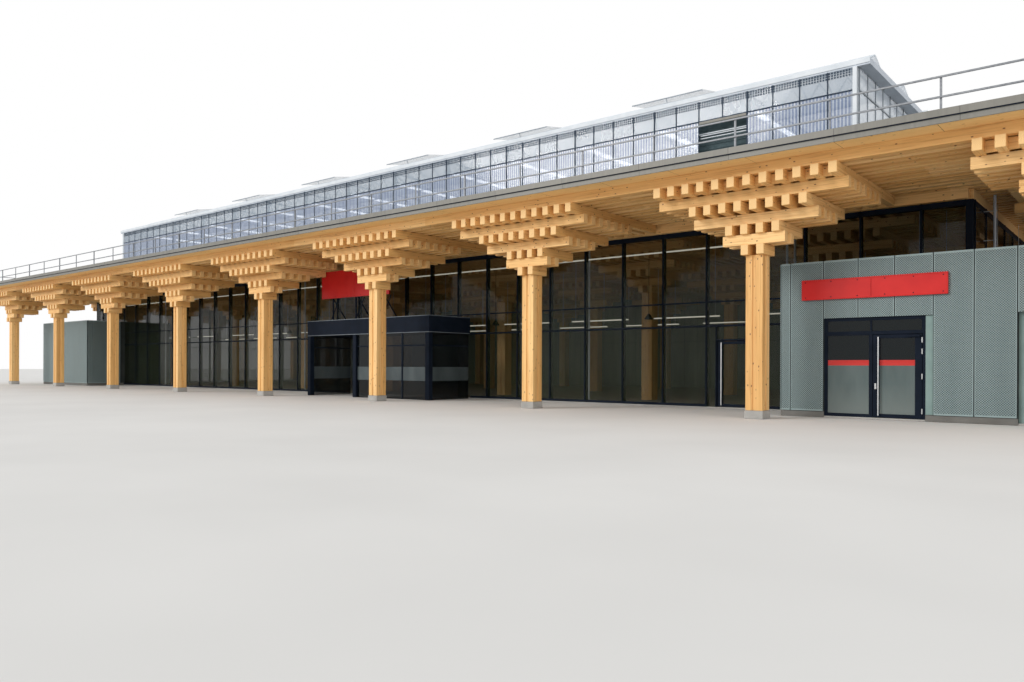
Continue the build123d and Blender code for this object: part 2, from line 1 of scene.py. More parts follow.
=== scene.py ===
from math import radians

import bmesh
import bpy
from mathutils import Matrix, Vector


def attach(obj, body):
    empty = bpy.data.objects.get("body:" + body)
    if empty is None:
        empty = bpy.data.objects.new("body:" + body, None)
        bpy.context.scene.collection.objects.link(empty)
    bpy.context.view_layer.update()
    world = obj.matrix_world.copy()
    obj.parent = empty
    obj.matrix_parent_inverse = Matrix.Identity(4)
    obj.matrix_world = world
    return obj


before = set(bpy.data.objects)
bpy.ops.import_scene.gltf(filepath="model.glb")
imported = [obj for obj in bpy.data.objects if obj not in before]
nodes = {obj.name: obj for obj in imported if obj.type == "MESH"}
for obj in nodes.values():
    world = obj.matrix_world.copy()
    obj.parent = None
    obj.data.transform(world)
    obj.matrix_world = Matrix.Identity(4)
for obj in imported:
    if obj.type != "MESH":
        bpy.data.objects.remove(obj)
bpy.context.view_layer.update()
scene = bpy.context.scene

# Sizes shared with the CAD model, in metres. X runs along the front, which faces -Y.
BAY = 4.5
END_LINE = 18.0
FRONT_LINE = -9.0
MODULE = 0.25
BEAM_WIDTH = 0.12
BEAM_HEIGHT = 0.16
COLUMN_TOP = 2.55
BEAM_GAP = 0.02
DECK_TOP = 3.9
ROOF_X = 19.1
ROOF_Y = 10.1
FASCIA_JOINT = 3.92
FASCIA_STEP = 0.02
RAIL_SETBACK = 0.12
RAIL_HEIGHT = 0.55
HALL_END = 16.0
FLOOR = 0.025
GLASS_FACE = -6.584
FRAME_FACE = -6.57
REAR_FACE = 6.525
MULLION_PITCH = 0.96
EXIT_LEFT = 11.46
EXIT_HEAD = 1.308
DOOR_POST = 11.67
TRANSOM = 1.605
HIGH_TRANSOM = 2.075
HEADER_BOTTOM = 3.51
BOX_INNER = 13.5
BOX_OUTER = 17.75
BOX_FRONT = -8.0
BOX_WALL_FACE = -7.965
BOX_BACK = -4.7
BOX_TOP = 2.515
PICKUP_LEFT = 14.19
PICKUP_MULLION = 14.9
PICKUP_RIGHT = 15.67
PICKUP_TOP = 1.59
PICKUP_TRANSOM = 1.34
PORCH_LEFT = 0.475
PORCH_RIGHT = 5.15
PORCH_SPLIT = 1.9
PORCH_POST = 0.125
PORCH_TOP = 2.0
PORCH_FASCIA = 0.4
HOUSE_END = 14.2
HOUSE_FRONT = -6.25
HOUSE_SPANS = 6
HOUSE_BAYS = 14
HOUSE_PANELS = 4
HOUSE_EAVES = 6.25
HOUSE_GLASS = 0.014
GLASS_LINE = 6.31
GUTTER_WIDTH = 0.15
GUTTER_BOTTOM = 6.14
RIDGE_RISE = 0.42
HOUSE_RAIL = 5.725
WINDOW_BOTTOM = 5.1
EAVE_WIDTH = 0.22
VENT_LENGTH = 1.7
VENT_WIDTH = 0.63
VENT_TILT = 10.5
CLADDING_PITCH = 0.532
CLADDING_FIRST = 0.15
SIGN_FRONT = -7.72
SIGN = (0.727, 3.434, 2.603, 3.328)
PICKUP_SIGN_FRONT = -8.04
PICKUP_SIGN = (13.85, 15.98, 1.89, 2.215)

HOUSE_SPAN = -2 * HOUSE_FRONT / HOUSE_SPANS
HOUSE_BAY = 2 * HOUSE_END / HOUSE_BAYS
HOUSE_PANEL = HOUSE_BAY / HOUSE_PANELS
HOUSE_PANES = HOUSE_BAYS * HOUSE_PANELS
HOUSE_RISE = (DECK_TOP, GUTTER_BOTTOM)
RIDGE_TOP = HOUSE_EAVES + RIDGE_RISE
WINDOW_RIGHT = HOUSE_END - HOUSE_BAY
WINDOW_LEFT = WINDOW_RIGHT - 2 * HOUSE_PANEL
RAIL_TOP = DECK_TOP + RAIL_HEIGHT
COLUMNS_X = [-END_LINE + BAY * i for i in range(9)]
COLUMNS_Y = [FRONT_LINE + BAY * i for i in range(5)]

# Sizes of the added pieces only: hall ceiling, broken timber edges and glazing caps
CEILING = 3.66
TIMBER_EDGE = 0.004
CAP_DEPTH = 0.016
CAP_HALF = 0.014
CAP_GAP = 0.02

# Stacked capitals, as in the CAD model: beams and half lengths of each layer, indoors and outdoors
SIDE_BEAMS = (1, 1, 2, 3, 4, 5, 6)
EDGE_BEAMS = (1, 1, 1, 1, 2, 2, 3)
REACH = (1.8, 4, 6, 8, 10, 12, 18)
EDGE_REACH = (1.8, 2, 2, 4, 4, 6, 6)


# Finishes

class Finish:
    """One procedural finish: its shader and the few nodes that feed it."""

    def __init__(self, name, **sockets):
        self.material = bpy.data.materials.new(name)
        self.material.use_nodes = True
        self.tree = self.material.node_tree
        self.shader = self.tree.nodes["Principled BSDF"]
        for socket, value in sockets.items():
            self.shader.inputs[socket.replace("_", " ")].default_value = value
        coordinates = self.tree.nodes.new("ShaderNodeTexCoord")
        self.place = coordinates.outputs["Object"]
        self.facing = coordinates.outputs["Normal"]

    def node(self, kind, sockets, **settings):
        """Adds a node, sets it and feeds its sockets by name or number."""
        made = self.tree.nodes.new(kind)
        for setting, value in settings.items():
            setattr(made, setting, value)
        for socket, value in sockets.items():
            self.feed(made.inputs[socket], value)
        return made

    def feed(self, socket, value):
        """Links a socket to another node's, or gives it a value."""
        if isinstance(value, bpy.types.NodeSocket):
            self.tree.links.new(value, socket)
        else:
            socket.default_value = value

    def sum(self, operation, first, second=0.0):
        return self.node("ShaderNodeMath", {0: first, 1: second}, operation=operation).outputs[0]

    def times(self, first, second):
        return self.sum("MULTIPLY", first, second)

    def over(self, value, limit):
        """1 where a value is over its limit."""
        return self.sum("GREATER_THAN", value, limit)

    def under(self, value, limit):
        """1 where a value is under its limit."""
        return self.sum("LESS_THAN", value, limit)

    def vector(self, operation, first, second=(0, 0, 0), third=(0, 0, 0)):
        made = self.node("ShaderNodeVectorMath", {0: first, 1: second, 2: third}, operation=operation)
        return made.outputs["Value" if operation == "LENGTH" else "Vector"]

    def axis(self, vector, letter):
        return self.node("ShaderNodeSeparateXYZ", {0: vector}).outputs["XYZ".index(letter)]

    def noise(self, stretch, detail=3.0, roughness=0.5):
        """Cloudy noise with its own scale along each axis."""
        spread = self.vector("MULTIPLY", self.place, stretch)
        sockets = {"Vector": spread, "Scale": 1.0, "Detail": detail, "Roughness": roughness}
        return self.node("ShaderNodeTexNoise", sockets).outputs[0]

    def chance(self, cells, shift=(0, 0, 0)):
        """One random value for each cell of a grid."""
        cell = self.vector("FLOOR", self.vector("MULTIPLY_ADD", self.place, cells, shift))
        return self.node("ShaderNodeTexWhiteNoise", {"Vector": cell}, noise_dimensions="3D").outputs["Value"]

    def dots(self, stretch, radius):
        """Round spots strewn at random: 1 in a spot, 0 outside."""
        spread = self.vector("MULTIPLY", self.place, stretch)
        near = self.node("ShaderNodeTexVoronoi", {"Vector": spread, "Scale": 1.0}).outputs["Distance"]
        return self.fade(near, radius, radius * 0.6)

    def lines(self, letter, pitch, width):
        """Straight joints at a steady pitch: 1 in a joint, 0 outside."""
        return self.under(self.sum("PINGPONG", self.axis(self.place, letter), pitch / 2), width / 2)

    def fade(self, value, low, high):
        """0 at the first limit, 1 at the second."""
        return self.node("ShaderNodeMapRange", {0: value, 1: low, 2: high}).outputs[0]

    def between(self, value, low, high):
        """1 between two limits, 0 outside."""
        return self.times(self.over(value, low), self.under(value, high))

    def facing_axis(self, letter):
        """1 on faces that look along an axis, either way."""
        return self.over(self.sum("ABSOLUTE", self.axis(self.facing, letter)), 0.8)

    def mix(self, factor, first, second):
        made = self.node("ShaderNodeMix", {0: factor, 6: paint(first), 7: paint(second)}, data_type="RGBA")
        return made.outputs[2]

    def ramp(self, value, *stops):
        made = self.node("ShaderNodeValToRGB", {0: value})
        steps = made.color_ramp.elements
        while len(steps) < len(stops):
            steps.new(0.5)
        for step, (position, colour) in zip(steps, stops):
            step.position = position
            step.color = paint(colour)
        return made.outputs[0]

    def blend(self, value, first, second, stop=0.7, start=0.3):
        """Goes over from one colour to another."""
        return self.ramp(value, (start, first), (stop, second))

    def colour(self, value):
        self.feed(self.shader.inputs["Base Color"], value)

    def stretch(self, socket, value, low, high):
        """Feeds a socket of the shader with a value spread over two limits."""
        spread = self.node("ShaderNodeMapRange", {0: value, 3: low, 4: high}).outputs[0]
        self.feed(self.shader.inputs[socket], spread)

    def gloss(self, value, low, high):
        """Roughness between two limits."""
        self.stretch("Roughness", value, low, high)

    def cover(self, value, low, high):
        """How much of what lies behind is hidden, between two limits."""
        self.stretch("Alpha", value, low, high)

    def relief(self, height, depth, strength=1.0):
        """Raises and sinks the surface by a depth in metres."""
        sockets = {"Height": height, "Distance": depth, "Strength": strength}
        self.feed(self.shader.inputs["Normal"], self.node("ShaderNodeBump", sockets).outputs[0])


def paint(colour):
    """A colour with its opacity, or a socket as it is."""
    return (*colour, 1.0) if isinstance(colour, tuple) and len(colour) == 3 else colour


def timber(name, grain, beam_cells, beam_shift):
    """Oiled spruce: long fibres, a tone for each beam, fine knots, and rings on the sawn ends."""
    wood = Finish(name, Roughness=0.55)

    def by_grain(lengthwise, across):
        return [lengthwise if letter == grain else across for letter in "xyz"]

    fibres = wood.noise(by_grain(1.4, 55.0), 5.0, 0.6)
    bands = wood.noise(by_grain(0.35, 9.0), 2.0)
    tone = wood.chance(beam_cells, beam_shift)
    board = wood.ramp(tone, (0.0, (0.74, 0.42, 0.145)), (0.5, (0.84, 0.51, 0.19)), (1.0, (0.92, 0.60, 0.26)))
    board = wood.mix(wood.fade(bands, 0.48, 0.85), board, (0.66, 0.35, 0.105))
    board = wood.mix(wood.fade(fibres, 0.5, 0.8), board, (0.46, 0.215, 0.055))
    board = wood.mix(wood.dots(by_grain(8.0, 14.0), 0.15), board, (0.17, 0.07, 0.025))
    local = wood.vector("FRACTION", wood.vector("MULTIPLY_ADD", wood.place, beam_cells, beam_shift))
    pith = wood.vector("SUBTRACT", local, by_grain(0.0, 0.45))
    pith = wood.vector("MULTIPLY", pith, by_grain(0.0, 1.0))
    rings = wood.sum("SINE", wood.times(wood.vector("LENGTH", pith), 90.0))
    sawn = wood.mix(wood.fade(rings, -1.0, 1.6), (0.88, 0.60, 0.28), (0.70, 0.41, 0.15))
    wood.colour(wood.mix(wood.facing_axis(grain.upper()), board, sawn))
    wood.gloss(fibres, 0.45, 0.68)
    wood.relief(fibres, 0.0015, 0.5)
    return wood.material


def concrete(name, dark, light):
    """Cast concrete with clouds and fine pores."""
    cast = Finish(name, Roughness=0.85)
    clouds = cast.noise((3.0, 3.0, 5.0), 5.0, 0.6)
    pores = cast.dots((70.0, 70.0, 70.0), 0.22)
    body = cast.blend(clouds, dark, light, 0.75, 0.25)
    cast.colour(cast.mix(cast.times(pores, 0.6), body, (0.12, 0.118, 0.11)))
    cast.gloss(clouds, 0.75, 0.95)
    cast.relief(clouds, 0.004, 0.6)
    return cast.material


def roof_board(name):
    """Deck: oiled boards on the underside, darker inside the front and rear overhangs as painted shade
    between the joists, grey roofing felt with grit on the top.
    """
    deck = Finish(name, Roughness=0.7)
    fibres = deck.noise((1.2, 40.0, 40.0), 4.0)
    board = deck.blend(fibres, (0.82, 0.50, 0.18), (0.92, 0.61, 0.26), 0.75)
    board = deck.mix(deck.dots((5.0, 14.0, 14.0), 0.12), board, (0.20, 0.09, 0.03))
    board = deck.mix(deck.lines("X", 1.25, 0.006), board, (0.18, 0.09, 0.04))
    # Boards inside the front and rear overhangs are darkened: painted shade between the joists.
    from_middle = deck.sum("ABSOLUTE", deck.axis(deck.place, "Y"))
    painted_joist_shade = deck.under(from_middle, -FRONT_LINE + 0.62)
    board = deck.mix(deck.times(painted_joist_shade, 0.55), board, (0.16, 0.075, 0.025))
    grit = deck.noise((60.0, 60.0, 60.0), 3.0, 0.7)
    felt = deck.blend(grit, (0.20, 0.20, 0.19), (0.34, 0.34, 0.32))
    felt = deck.mix(deck.lines("Y", 0.5, 0.012), felt, (0.15, 0.15, 0.145))
    upward = deck.over(deck.axis(deck.facing, "Z"), 0.5)
    deck.colour(deck.mix(upward, board, felt))
    deck.gloss(grit, 0.6, 0.9)
    deck.relief(grit, 0.002, 0.4)
    return deck.material


def fascia_metal(name):
    """Coil-coated sheet, grey-beige, with upright seams and faint streaks of rain."""
    sheet = Finish(name, Metallic=0.15)
    bay, width = 1.5, 0.006
    streaks = sheet.noise((14.0, 14.0, 0.8), 3.0)
    body = sheet.blend(streaks, (0.150, 0.145, 0.128), (0.205, 0.198, 0.175), 0.75)
    tone = sheet.chance((1 / bay, 1 / bay, 0.0))
    body = sheet.mix(sheet.times(tone, 0.35), body, (0.22, 0.212, 0.19))
    sides = [sheet.times(sheet.lines(run, bay, width), sheet.facing_axis(face)) for run, face in ("XY", "YX")]
    seams = sheet.sum("ADD", *sides)
    sheet.colour(sheet.mix(seams, body, (0.06, 0.058, 0.05)))
    sheet.gloss(streaks, 0.38, 0.6)
    sheet.relief(sheet.sum("SUBTRACT", streaks, seams), 0.002, 0.5)
    return sheet.material


def galvanised(name):
    """Zinc-coated steel with soft spangles."""
    zinc = Finish(name, Metallic=0.2)
    spangle = zinc.noise((30.0, 30.0, 30.0), 2.0)
    zinc.colour(zinc.blend(spangle, (0.16, 0.17, 0.19), (0.25, 0.265, 0.285)))
    zinc.gloss(spangle, 0.35, 0.55)
    return zinc.material


def painted(name, dark, light, rough_low=0.4, rough_high=0.55, metallic=0.0, cloud=4.0, specular=0.2):
    """Powder-coated metal: two close tones in soft clouds, with a fine skin."""
    coat = Finish(name, Metallic=metallic, Specular_IOR_Level=specular)
    clouds = coat.noise((cloud, cloud, cloud), 4.0)
    skin = coat.noise((180.0, 180.0, 180.0), 2.0)
    coat.colour(coat.blend(clouds, dark, light))
    coat.gloss(clouds, rough_low, rough_high)
    coat.relief(skin, 0.0004, 0.35)
    return coat.material


def perforated(name):
    """Grey-green sheet with staggered rows of round holes and a plain rim at the joints."""
    sheet = Finish(name, Metallic=0.1)
    pitch, radius, rim, joint = 0.034, 0.0098, 0.018, 0.009
    x, y, z = (sheet.axis(sheet.place, letter) for letter in "XYZ")
    along = sheet.sum("ADD", x, y)
    cells = []
    for shift in (0.0, pitch / 2):
        side = sheet.sum("PINGPONG", sheet.sum("ADD", along, shift + pitch * 900), pitch / 2)
        up = sheet.sum("PINGPONG", sheet.sum("ADD", z, shift), pitch / 2)
        squares = sheet.sum("ADD", sheet.times(side, side), sheet.times(up, up))
        cells.append(sheet.under(squares, radius * radius))
    front_run = sheet.sum("SUBTRACT", sheet.sum("ABSOLUTE", x), BOX_INNER)
    side_run = sheet.sum("SUBTRACT", y, BOX_WALL_FACE)
    sideways = sheet.facing_axis("X")
    front_part = sheet.times(front_run, sheet.sum("SUBTRACT", 1.0, sideways))
    run = sheet.sum("ADD", front_part, sheet.times(side_run, sideways))
    run = sheet.sum("SUBTRACT", run, CLADDING_FIRST - CLADDING_PITCH * 9)
    from_edge = sheet.sum("PINGPONG", run, CLADDING_PITCH / 2)
    inside = sheet.times(sheet.over(from_edge, rim), sheet.between(z, 0.125, BOX_TOP - 0.03))
    holes = sheet.times(sheet.sum("MAXIMUM", *cells), inside)
    streaks = sheet.noise((5.0, 5.0, 0.6), 3.0)
    body = sheet.blend(streaks, (0.225, 0.30, 0.305), (0.285, 0.365, 0.37), 0.75)
    body = sheet.mix(sheet.under(from_edge, joint), body, (0.05, 0.07, 0.075))
    sheet.colour(sheet.mix(holes, body, (0.065, 0.095, 0.10)))
    sheet.gloss(streaks, 0.4, 0.6)
    sheet.relief(sheet.sum("SUBTRACT", 1.0, holes), 0.004, 0.7)
    return sheet.material


def seamed_wall(name):
    """Rear wall: upright sheet-metal bays with narrow joints."""
    wall = Finish(name, Metallic=0.1)
    streaks = wall.noise((6.0, 6.0, 0.5), 3.0)
    body = wall.blend(streaks, (0.24, 0.30, 0.28), (0.31, 0.37, 0.345), 0.75)
    joints = wall.sum("MAXIMUM", wall.lines("X", 0.532, 0.008), wall.lines("Z", 1.75, 0.008))
    wall.colour(wall.mix(joints, body, (0.07, 0.09, 0.085)))
    wall.gloss(streaks, 0.4, 0.6)
    wall.relief(wall.sum("SUBTRACT", 1.0, joints), 0.006)
    return wall.material


def glass(name, tint, clear, roughness, streak, specular=0.5):
    """A pane: its tint, how much of it one sees through, and faint streaks on its face."""
    pane = Finish(name, Roughness=roughness, Specular_IOR_Level=specular)
    streaks = pane.noise((3.0, 3.0, 0.7), 3.0)
    light = tuple(min(1.0, channel * (1 + streak) + 0.01) for channel in tint)
    pane.colour(pane.blend(streaks, tint, light, 0.7, 0.35))
    pane.cover(streaks, 1 - clear, 1 - clear * (1 - streak / 4))
    return pane.material


def shaded_glass(name):
    """Door panes: frosted below, a plain red band at hand height, clear above."""
    pane = Finish(name, Roughness=0.12, Specular_IOR_Level=0.25)
    height = pane.axis(pane.place, "Z")
    streaks = pane.noise((4.0, 4.0, 1.2), 3.0)
    frosted = pane.blend(streaks, (0.075, 0.105, 0.105), (0.115, 0.15, 0.15))
    frosted = pane.mix(pane.fade(height, 0.55, 0.15), frosted, (0.15, 0.18, 0.175))
    band = pane.between(height, 0.835, 0.92)
    above = pane.over(height, 0.88)
    body = pane.mix(above, frosted, (0.006, 0.009, 0.010))
    pane.colour(pane.mix(band, body, (0.55, 0.035, 0.03)))
    pane.gloss(pane.sum("SUBTRACT", 1.0, above), 0.05, 0.4)
    pane.cover(pane.sum("SUBTRACT", above, band), 0.96, 0.88)
    return pane.material


def banded_glass(name):
    """Porch panes: dark and clear, with a frosted band at waist height."""
    pane = Finish(name, Roughness=0.1, Specular_IOR_Level=0.3)
    streaks = pane.noise((3.0, 3.0, 1.0), 3.0)
    band = pane.between(pane.axis(pane.place, "Z"), 0.45, 0.78)
    frosted = pane.blend(streaks, (0.05, 0.065, 0.07), (0.08, 0.10, 0.105))
    pane.colour(pane.mix(band, (0.004, 0.006, 0.007), frosted))
    pane.cover(band, 0.66, 0.93)
    return pane.material


def ribbed_glass(name):
    """Long greenhouse walls: plain pale panes above the rail, upright white ribs below it."""
    pane = Finish(name, Roughness=0.08)
    streaks = pane.noise((2.0, 2.0, 0.6), 3.0)
    plain = pane.blend(streaks, (0.34, 0.41, 0.49), (0.42, 0.49, 0.57))
    pitch = HOUSE_PANEL / 8
    along = pane.sum("ADD", pane.axis(pane.place, "X"), HOUSE_END + pitch / 2)
    rib = pane.fade(pane.sum("PINGPONG", along, pitch / 2), pitch * 0.04, pitch * 0.3)
    ribbed = pane.mix(rib, (0.56, 0.62, 0.71), (0.20, 0.26, 0.41))
    low = pane.under(pane.axis(pane.place, "Z"), HOUSE_RAIL)
    pane.colour(pane.mix(low, plain, pane.mix(pane.fade(streaks, 0.55, 1.1), ribbed, plain)))
    pane.cover(low, 0.45, 0.58)
    pane.relief(streaks, 0.002, 0.15)
    return pane.material


def lit_lamp(name, glow, tint):
    """Lamp: a white housing that glows evenly."""
    lamp = Finish(name, Roughness=0.5)
    clouds = lamp.noise((4.0, 4.0, 4.0), 2.0)
    lamp.colour(lamp.blend(clouds, (0.80, 0.82, 0.84), (0.88, 0.90, 0.92)))
    lamp.shader.inputs["Emission Color"].default_value = paint(tint)
    lamp.shader.inputs["Emission Strength"].default_value = glow
    return lamp.material


def red_panel(name):
    """Plain red enamelled sign panel with slight clouds."""
    panel = Finish(name, Specular_IOR_Level=0.3)
    clouds = panel.noise((3.0, 3.0, 3.0), 3.0)
    panel.colour(panel.blend(clouds, (0.55, 0.012, 0.012), (0.64, 0.018, 0.016)))
    panel.gloss(clouds, 0.3, 0.42)
    return panel.material


across, along, up = 1 / MODULE, 1 / BAY, 1 / BEAM_HEIGHT
sunk = -COLUMN_TOP / BEAM_HEIGHT
finishes = {
    "timber_x": timber("timber along the front", "x", (along, across, up), (0.5, 0, sunk)),
    "timber_y": timber("timber front to rear", "y", (across, along, up), (0, 0.5, sunk)),
    "timber_z": timber("timber upright", "z", (2 * along, 2 * along, 0.1), (0, 0, 0)),
    "concrete": concrete("cast concrete", (0.30, 0.295, 0.28), (0.46, 0.45, 0.43)),
    # Plinth concrete: the common concrete made much darker, as painted shade under the cladding.
    "plinth_concrete_with_painted_shade": concrete("plinth concrete with painted shade", (0.11, 0.108, 0.10), (0.18, 0.176, 0.165)),
    "roof_board": roof_board("roof deck"),
    "fascia_metal": fascia_metal("fascia sheet"),
    "galvanised": galvanised("galvanised steel"),
    "dark_frame": painted(
        "anthracite coat", (0.006, 0.010, 0.018), (0.010, 0.015, 0.027), 0.45, 0.6, specular=0.05),
    "box_wall": painted("dark wall membrane", (0.022, 0.028, 0.028), (0.04, 0.048, 0.047), 0.7, 0.9),
    "cladding": perforated("perforated cladding"),
    "rear_cladding": seamed_wall("seamed rear wall"),
    "door_paint": painted("pale teal coat", (0.19, 0.275, 0.265), (0.24, 0.335, 0.32)),
    "end_wall_glass": glass("darker end wall glass", (0.012, 0.016, 0.010), 0.4, 0.02, 0.5, 0.35),
    "dark_glass": glass("tinted hall glass", (0.012, 0.018, 0.006), 0.72, 0.02, 0.5, 0.35),
    "frosted_glass": shaded_glass("shaded door glass"),
    "clear_glass": glass("greenhouse roof glass", (0.55, 0.64, 0.72), 0.8, 0.05, 0.15),
    "end_glass": glass("greenhouse end glass", (0.70, 0.76, 0.83), 0.45, 0.08, 0.12, 0.3),
    "ribbed_glass": ribbed_glass("ribbed greenhouse glass"),
    "banded_glass": banded_glass("banded porch glass"),
    "vent_glass": glass("thin vent glass", (0.42, 0.47, 0.52), 0.75, 0.05, 0.2),
    "glazing_bar": painted(
        "blue-grey glazing bar", (0.020, 0.034, 0.058), (0.032, 0.050, 0.080), specular=0.1),
    "end_bar": painted("end glazing bar", (0.17, 0.20, 0.23), (0.23, 0.26, 0.29)),
    "grey_steel": painted("grey girder coat", (0.28, 0.31, 0.35), (0.36, 0.40, 0.44)),
    "gutter_metal": painted("pale gutter coat", (0.47, 0.52, 0.59), (0.56, 0.61, 0.68)),
    "shade_cloth": painted(
        "dark shade cloth", (0.055, 0.085, 0.095), (0.085, 0.12, 0.13), 0.8, 0.95, cloud=12.0),
    "lit_lamp": lit_lamp("lit growing lamp", 2.6, (0.92, 0.96, 1.0)),
    "hall_lamp": lit_lamp("lit hall lamp", 0.7, (0.95, 0.92, 0.75)),
    "sign_red": red_panel("red sign enamel"),
    "white_metal": painted("white coat", (0.62, 0.67, 0.72), (0.72, 0.76, 0.80)),
    "steel": painted("brushed steel", (0.48, 0.49, 0.50), (0.62, 0.63, 0.64), 0.25, 0.38, 0.85, cloud=30.0),
}

nodes_by_finish = {
    "timber_x": "long_beams roof_joists header_beams",
    "timber_y": "cross_beams",
    "timber_z": "outer_columns inner_columns",
    "concrete": "column_feet floor_slab",
    "roof_board": "roof_deck",
    "fascia_metal": "roof_fascia",
    "galvanised": "guard_posts guard_rails",
    "dark_frame": "front_mullions front_rails side_mullions exit_leaf pickup_frame pickup_leaf "
                  "porch_posts porch_canopy sign_struts",
    "dark_glass": "front_panes exit_glass",
    "end_wall_glass": "side_panes",
    "rear_cladding": "rear_wall",
    "steel": "exit_pull pickup_pull",
    "box_wall": "box_side_walls box_back_walls box_front_walls box_roofs",
    "cladding": "front_cladding side_cladding",
    "frosted_glass": "pickup_glass pickup_fixed_panes",
    "door_paint": "delivery_door",
    "banded_glass": "porch_panes",
    "sign_red": "sign_panels",
    "gutter_metal": "house_gutters house_trim",
    "white_metal": "house_posts",
    "ribbed_glass": "house_long_glass",
    "end_glass": "house_end_glass",
    "vent_glass": "roof_vents",
    "clear_glass": "house_roofs",
}


# Making pieces

def around(middle, half):
    """Limits at the same distance to both sides of a middle."""
    return middle - half, middle + half


def mirrored(side, near, far):
    """Limits measured from the middle of the building towards one side."""
    return side * near, side * far


def block(shape, x_range, y_range, z_range):
    """Adds a rectangular block between the given limits."""
    limits = (x_range, y_range, z_range)
    middle = [(low + high) / 2 for low, high in limits]
    size = [abs(high - low) for low, high in limits]
    bmesh.ops.create_cube(shape, size=1.0, matrix=Matrix.Translation(middle) @ Matrix.Diagonal((*size, 1.0)))


def bar(shape, start, end, width, sides=4):
    """Adds a straight bar between two points: square with four sides, round with more."""
    start, end = Vector(start), Vector(end)
    run = end - start
    turn = run.to_track_quat("Z", "Y").to_matrix().to_4x4()
    if sides == 4:
        turn = turn @ Matrix.Rotation(radians(45), 4, "Z")
        width = width * 2 ** 0.5
    bmesh.ops.create_cone(
        shape, cap_ends=True, segments=sides, radius1=width / 2, radius2=width / 2,
        depth=run.length, matrix=Matrix.Translation((start + end) / 2) @ turn,
    )


def build(name, shape, material):
    """Turns a finished shape into an object of the scene."""
    mesh = bpy.data.meshes.new(name)
    shape.to_mesh(mesh)
    shape.free()
    mesh.materials.append(material)
    made = bpy.data.objects.new(name, mesh)
    scene.collection.objects.link(made)
    return made


def piece(name, shape, finish, edge=0.0, body="root"):
    """Builds a named piece and puts it on its body."""
    bmesh.ops.recalc_face_normals(shape, faces=shape.faces)
    made = build(name, shape, finishes[finish])
    if edge:
        soften(made, edge)
    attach(made, body)


def soften(made, edge):
    """Breaks the sharp edges of a piece."""
    bevel = made.modifiers.new("edge", "BEVEL")
    bevel.width = edge
    bevel.segments = 1
    bevel.limit_method = "ANGLE"


def finish_nodes():
    """Gives every CAD node its finish, and breaks the edges of timber and concrete."""
    for finish, names in nodes_by_finish.items():
        for name in names.split():
            for slot in nodes[name].material_slots:
                slot.material = finishes[finish]
            if not nodes[name].material_slots:
                nodes[name].data.materials.append(finishes[finish])
    for name in ("cross_beams", "long_beams", "outer_columns", "column_feet", "roof_joists", "porch_posts"):
        weld = nodes[name].modifiers.new("weld", "WELD")
        weld.merge_threshold = 0.0001
        soften(nodes[name], TIMBER_EDGE)


# Timber

def beam_rows(layer, outdoors_low, outdoors_high):
    """Places of a layer's beams across their length."""
    low = EDGE_BEAMS[layer] if outdoors_low else SIDE_BEAMS[layer]
    high = EDGE_BEAMS[layer] if outdoors_high else SIDE_BEAMS[layer]
    return [MODULE * (i + 0.5) for i in range(-low, high)]


def beam_ends(layer, outdoors_low, outdoors_high):
    """How far a layer's beams reach either way along their length."""
    low = EDGE_REACH[layer] if outdoors_low else REACH[layer]
    high = EDGE_REACH[layer] if outdoors_high else REACH[layer]
    longest = BAY / 2 - BEAM_GAP
    return -min(low * MODULE / 2, longest), min(high * MODULE / 2, longest)


def capital(cross, along, x, y):
    """Stacks the crossing beams over one column, clear of the hall's front and rear walls."""
    left, right, back = x == -END_LINE, x == END_LINE, y == -FRONT_LINE
    clear_front, clear_rear = FRAME_FACE + 0.12, REAR_FACE - 0.16
    for layer in range(len(REACH)):
        level = COLUMN_TOP + layer * BEAM_HEIGHT
        rise = (level, level + BEAM_HEIGHT)
        if layer % 2:
            low, high = beam_ends(layer, left, right)
            for offset in beam_rows(layer, False, back):
                block(along, (x + low, x + high), around(y + offset, BEAM_WIDTH / 2), rise)
        else:
            low, high = beam_ends(layer, False, back)
            start, stop = y + low, y + high
            if not back:
                start, stop = max(start, clear_front), min(stop, clear_rear)
            for offset in beam_rows(layer, left, right):
                block(cross, around(x + offset, BEAM_WIDTH / 2), (start, stop), rise)


def make_capitals():
    """Capitals over the inner columns and the rear row, by the same rule as the CAD ones."""
    for place, xs, ys in (("inner", COLUMNS_X[1:-1], COLUMNS_Y[1:-1]), ("rear", COLUMNS_X, COLUMNS_Y[-1:])):
        cross, along = bmesh.new(), bmesh.new()
        for x in xs:
            for y in ys:
                capital(cross, along, x, y)
        piece(f"{place}_cross_beams", cross, "timber_y", TIMBER_EDGE)
        piece(f"{place}_long_beams", along, "timber_x", TIMBER_EDGE)


def make_infill():
    """Boards between the top beams of each front capital, a little behind the beam ends."""
    boards = bmesh.new()
    top_layer, thick = 6, 0.03
    level = COLUMN_TOP + top_layer * BEAM_HEIGHT
    face = FRONT_LINE - EDGE_REACH[top_layer] * MODULE / 2 + 0.19
    for x in COLUMNS_X:
        for row in beam_rows(top_layer, x == -END_LINE, x == END_LINE)[1:]:
            gap = around(x + row - MODULE / 2, (MODULE - BEAM_WIDTH) / 2)
            block(boards, gap, (face, face + thick), (level, level + BEAM_HEIGHT - 0.012))
    piece("capital_infill", boards, "timber_x")


def make_column_plates():
    """A steel plate between each outer column and its concrete foot."""
    plates = bmesh.new()
    half, foot_top, thick = 0.145, 0.125, 0.004
    for x in COLUMNS_X:
        for y in COLUMNS_Y:
            if abs(x) == END_LINE or abs(y) == -FRONT_LINE:
                block(plates, around(x, half), around(y, half), (foot_top, foot_top + thick))
    piece("column_plates", plates, "galvanised", 0.001)


# Roof edge and guard rail

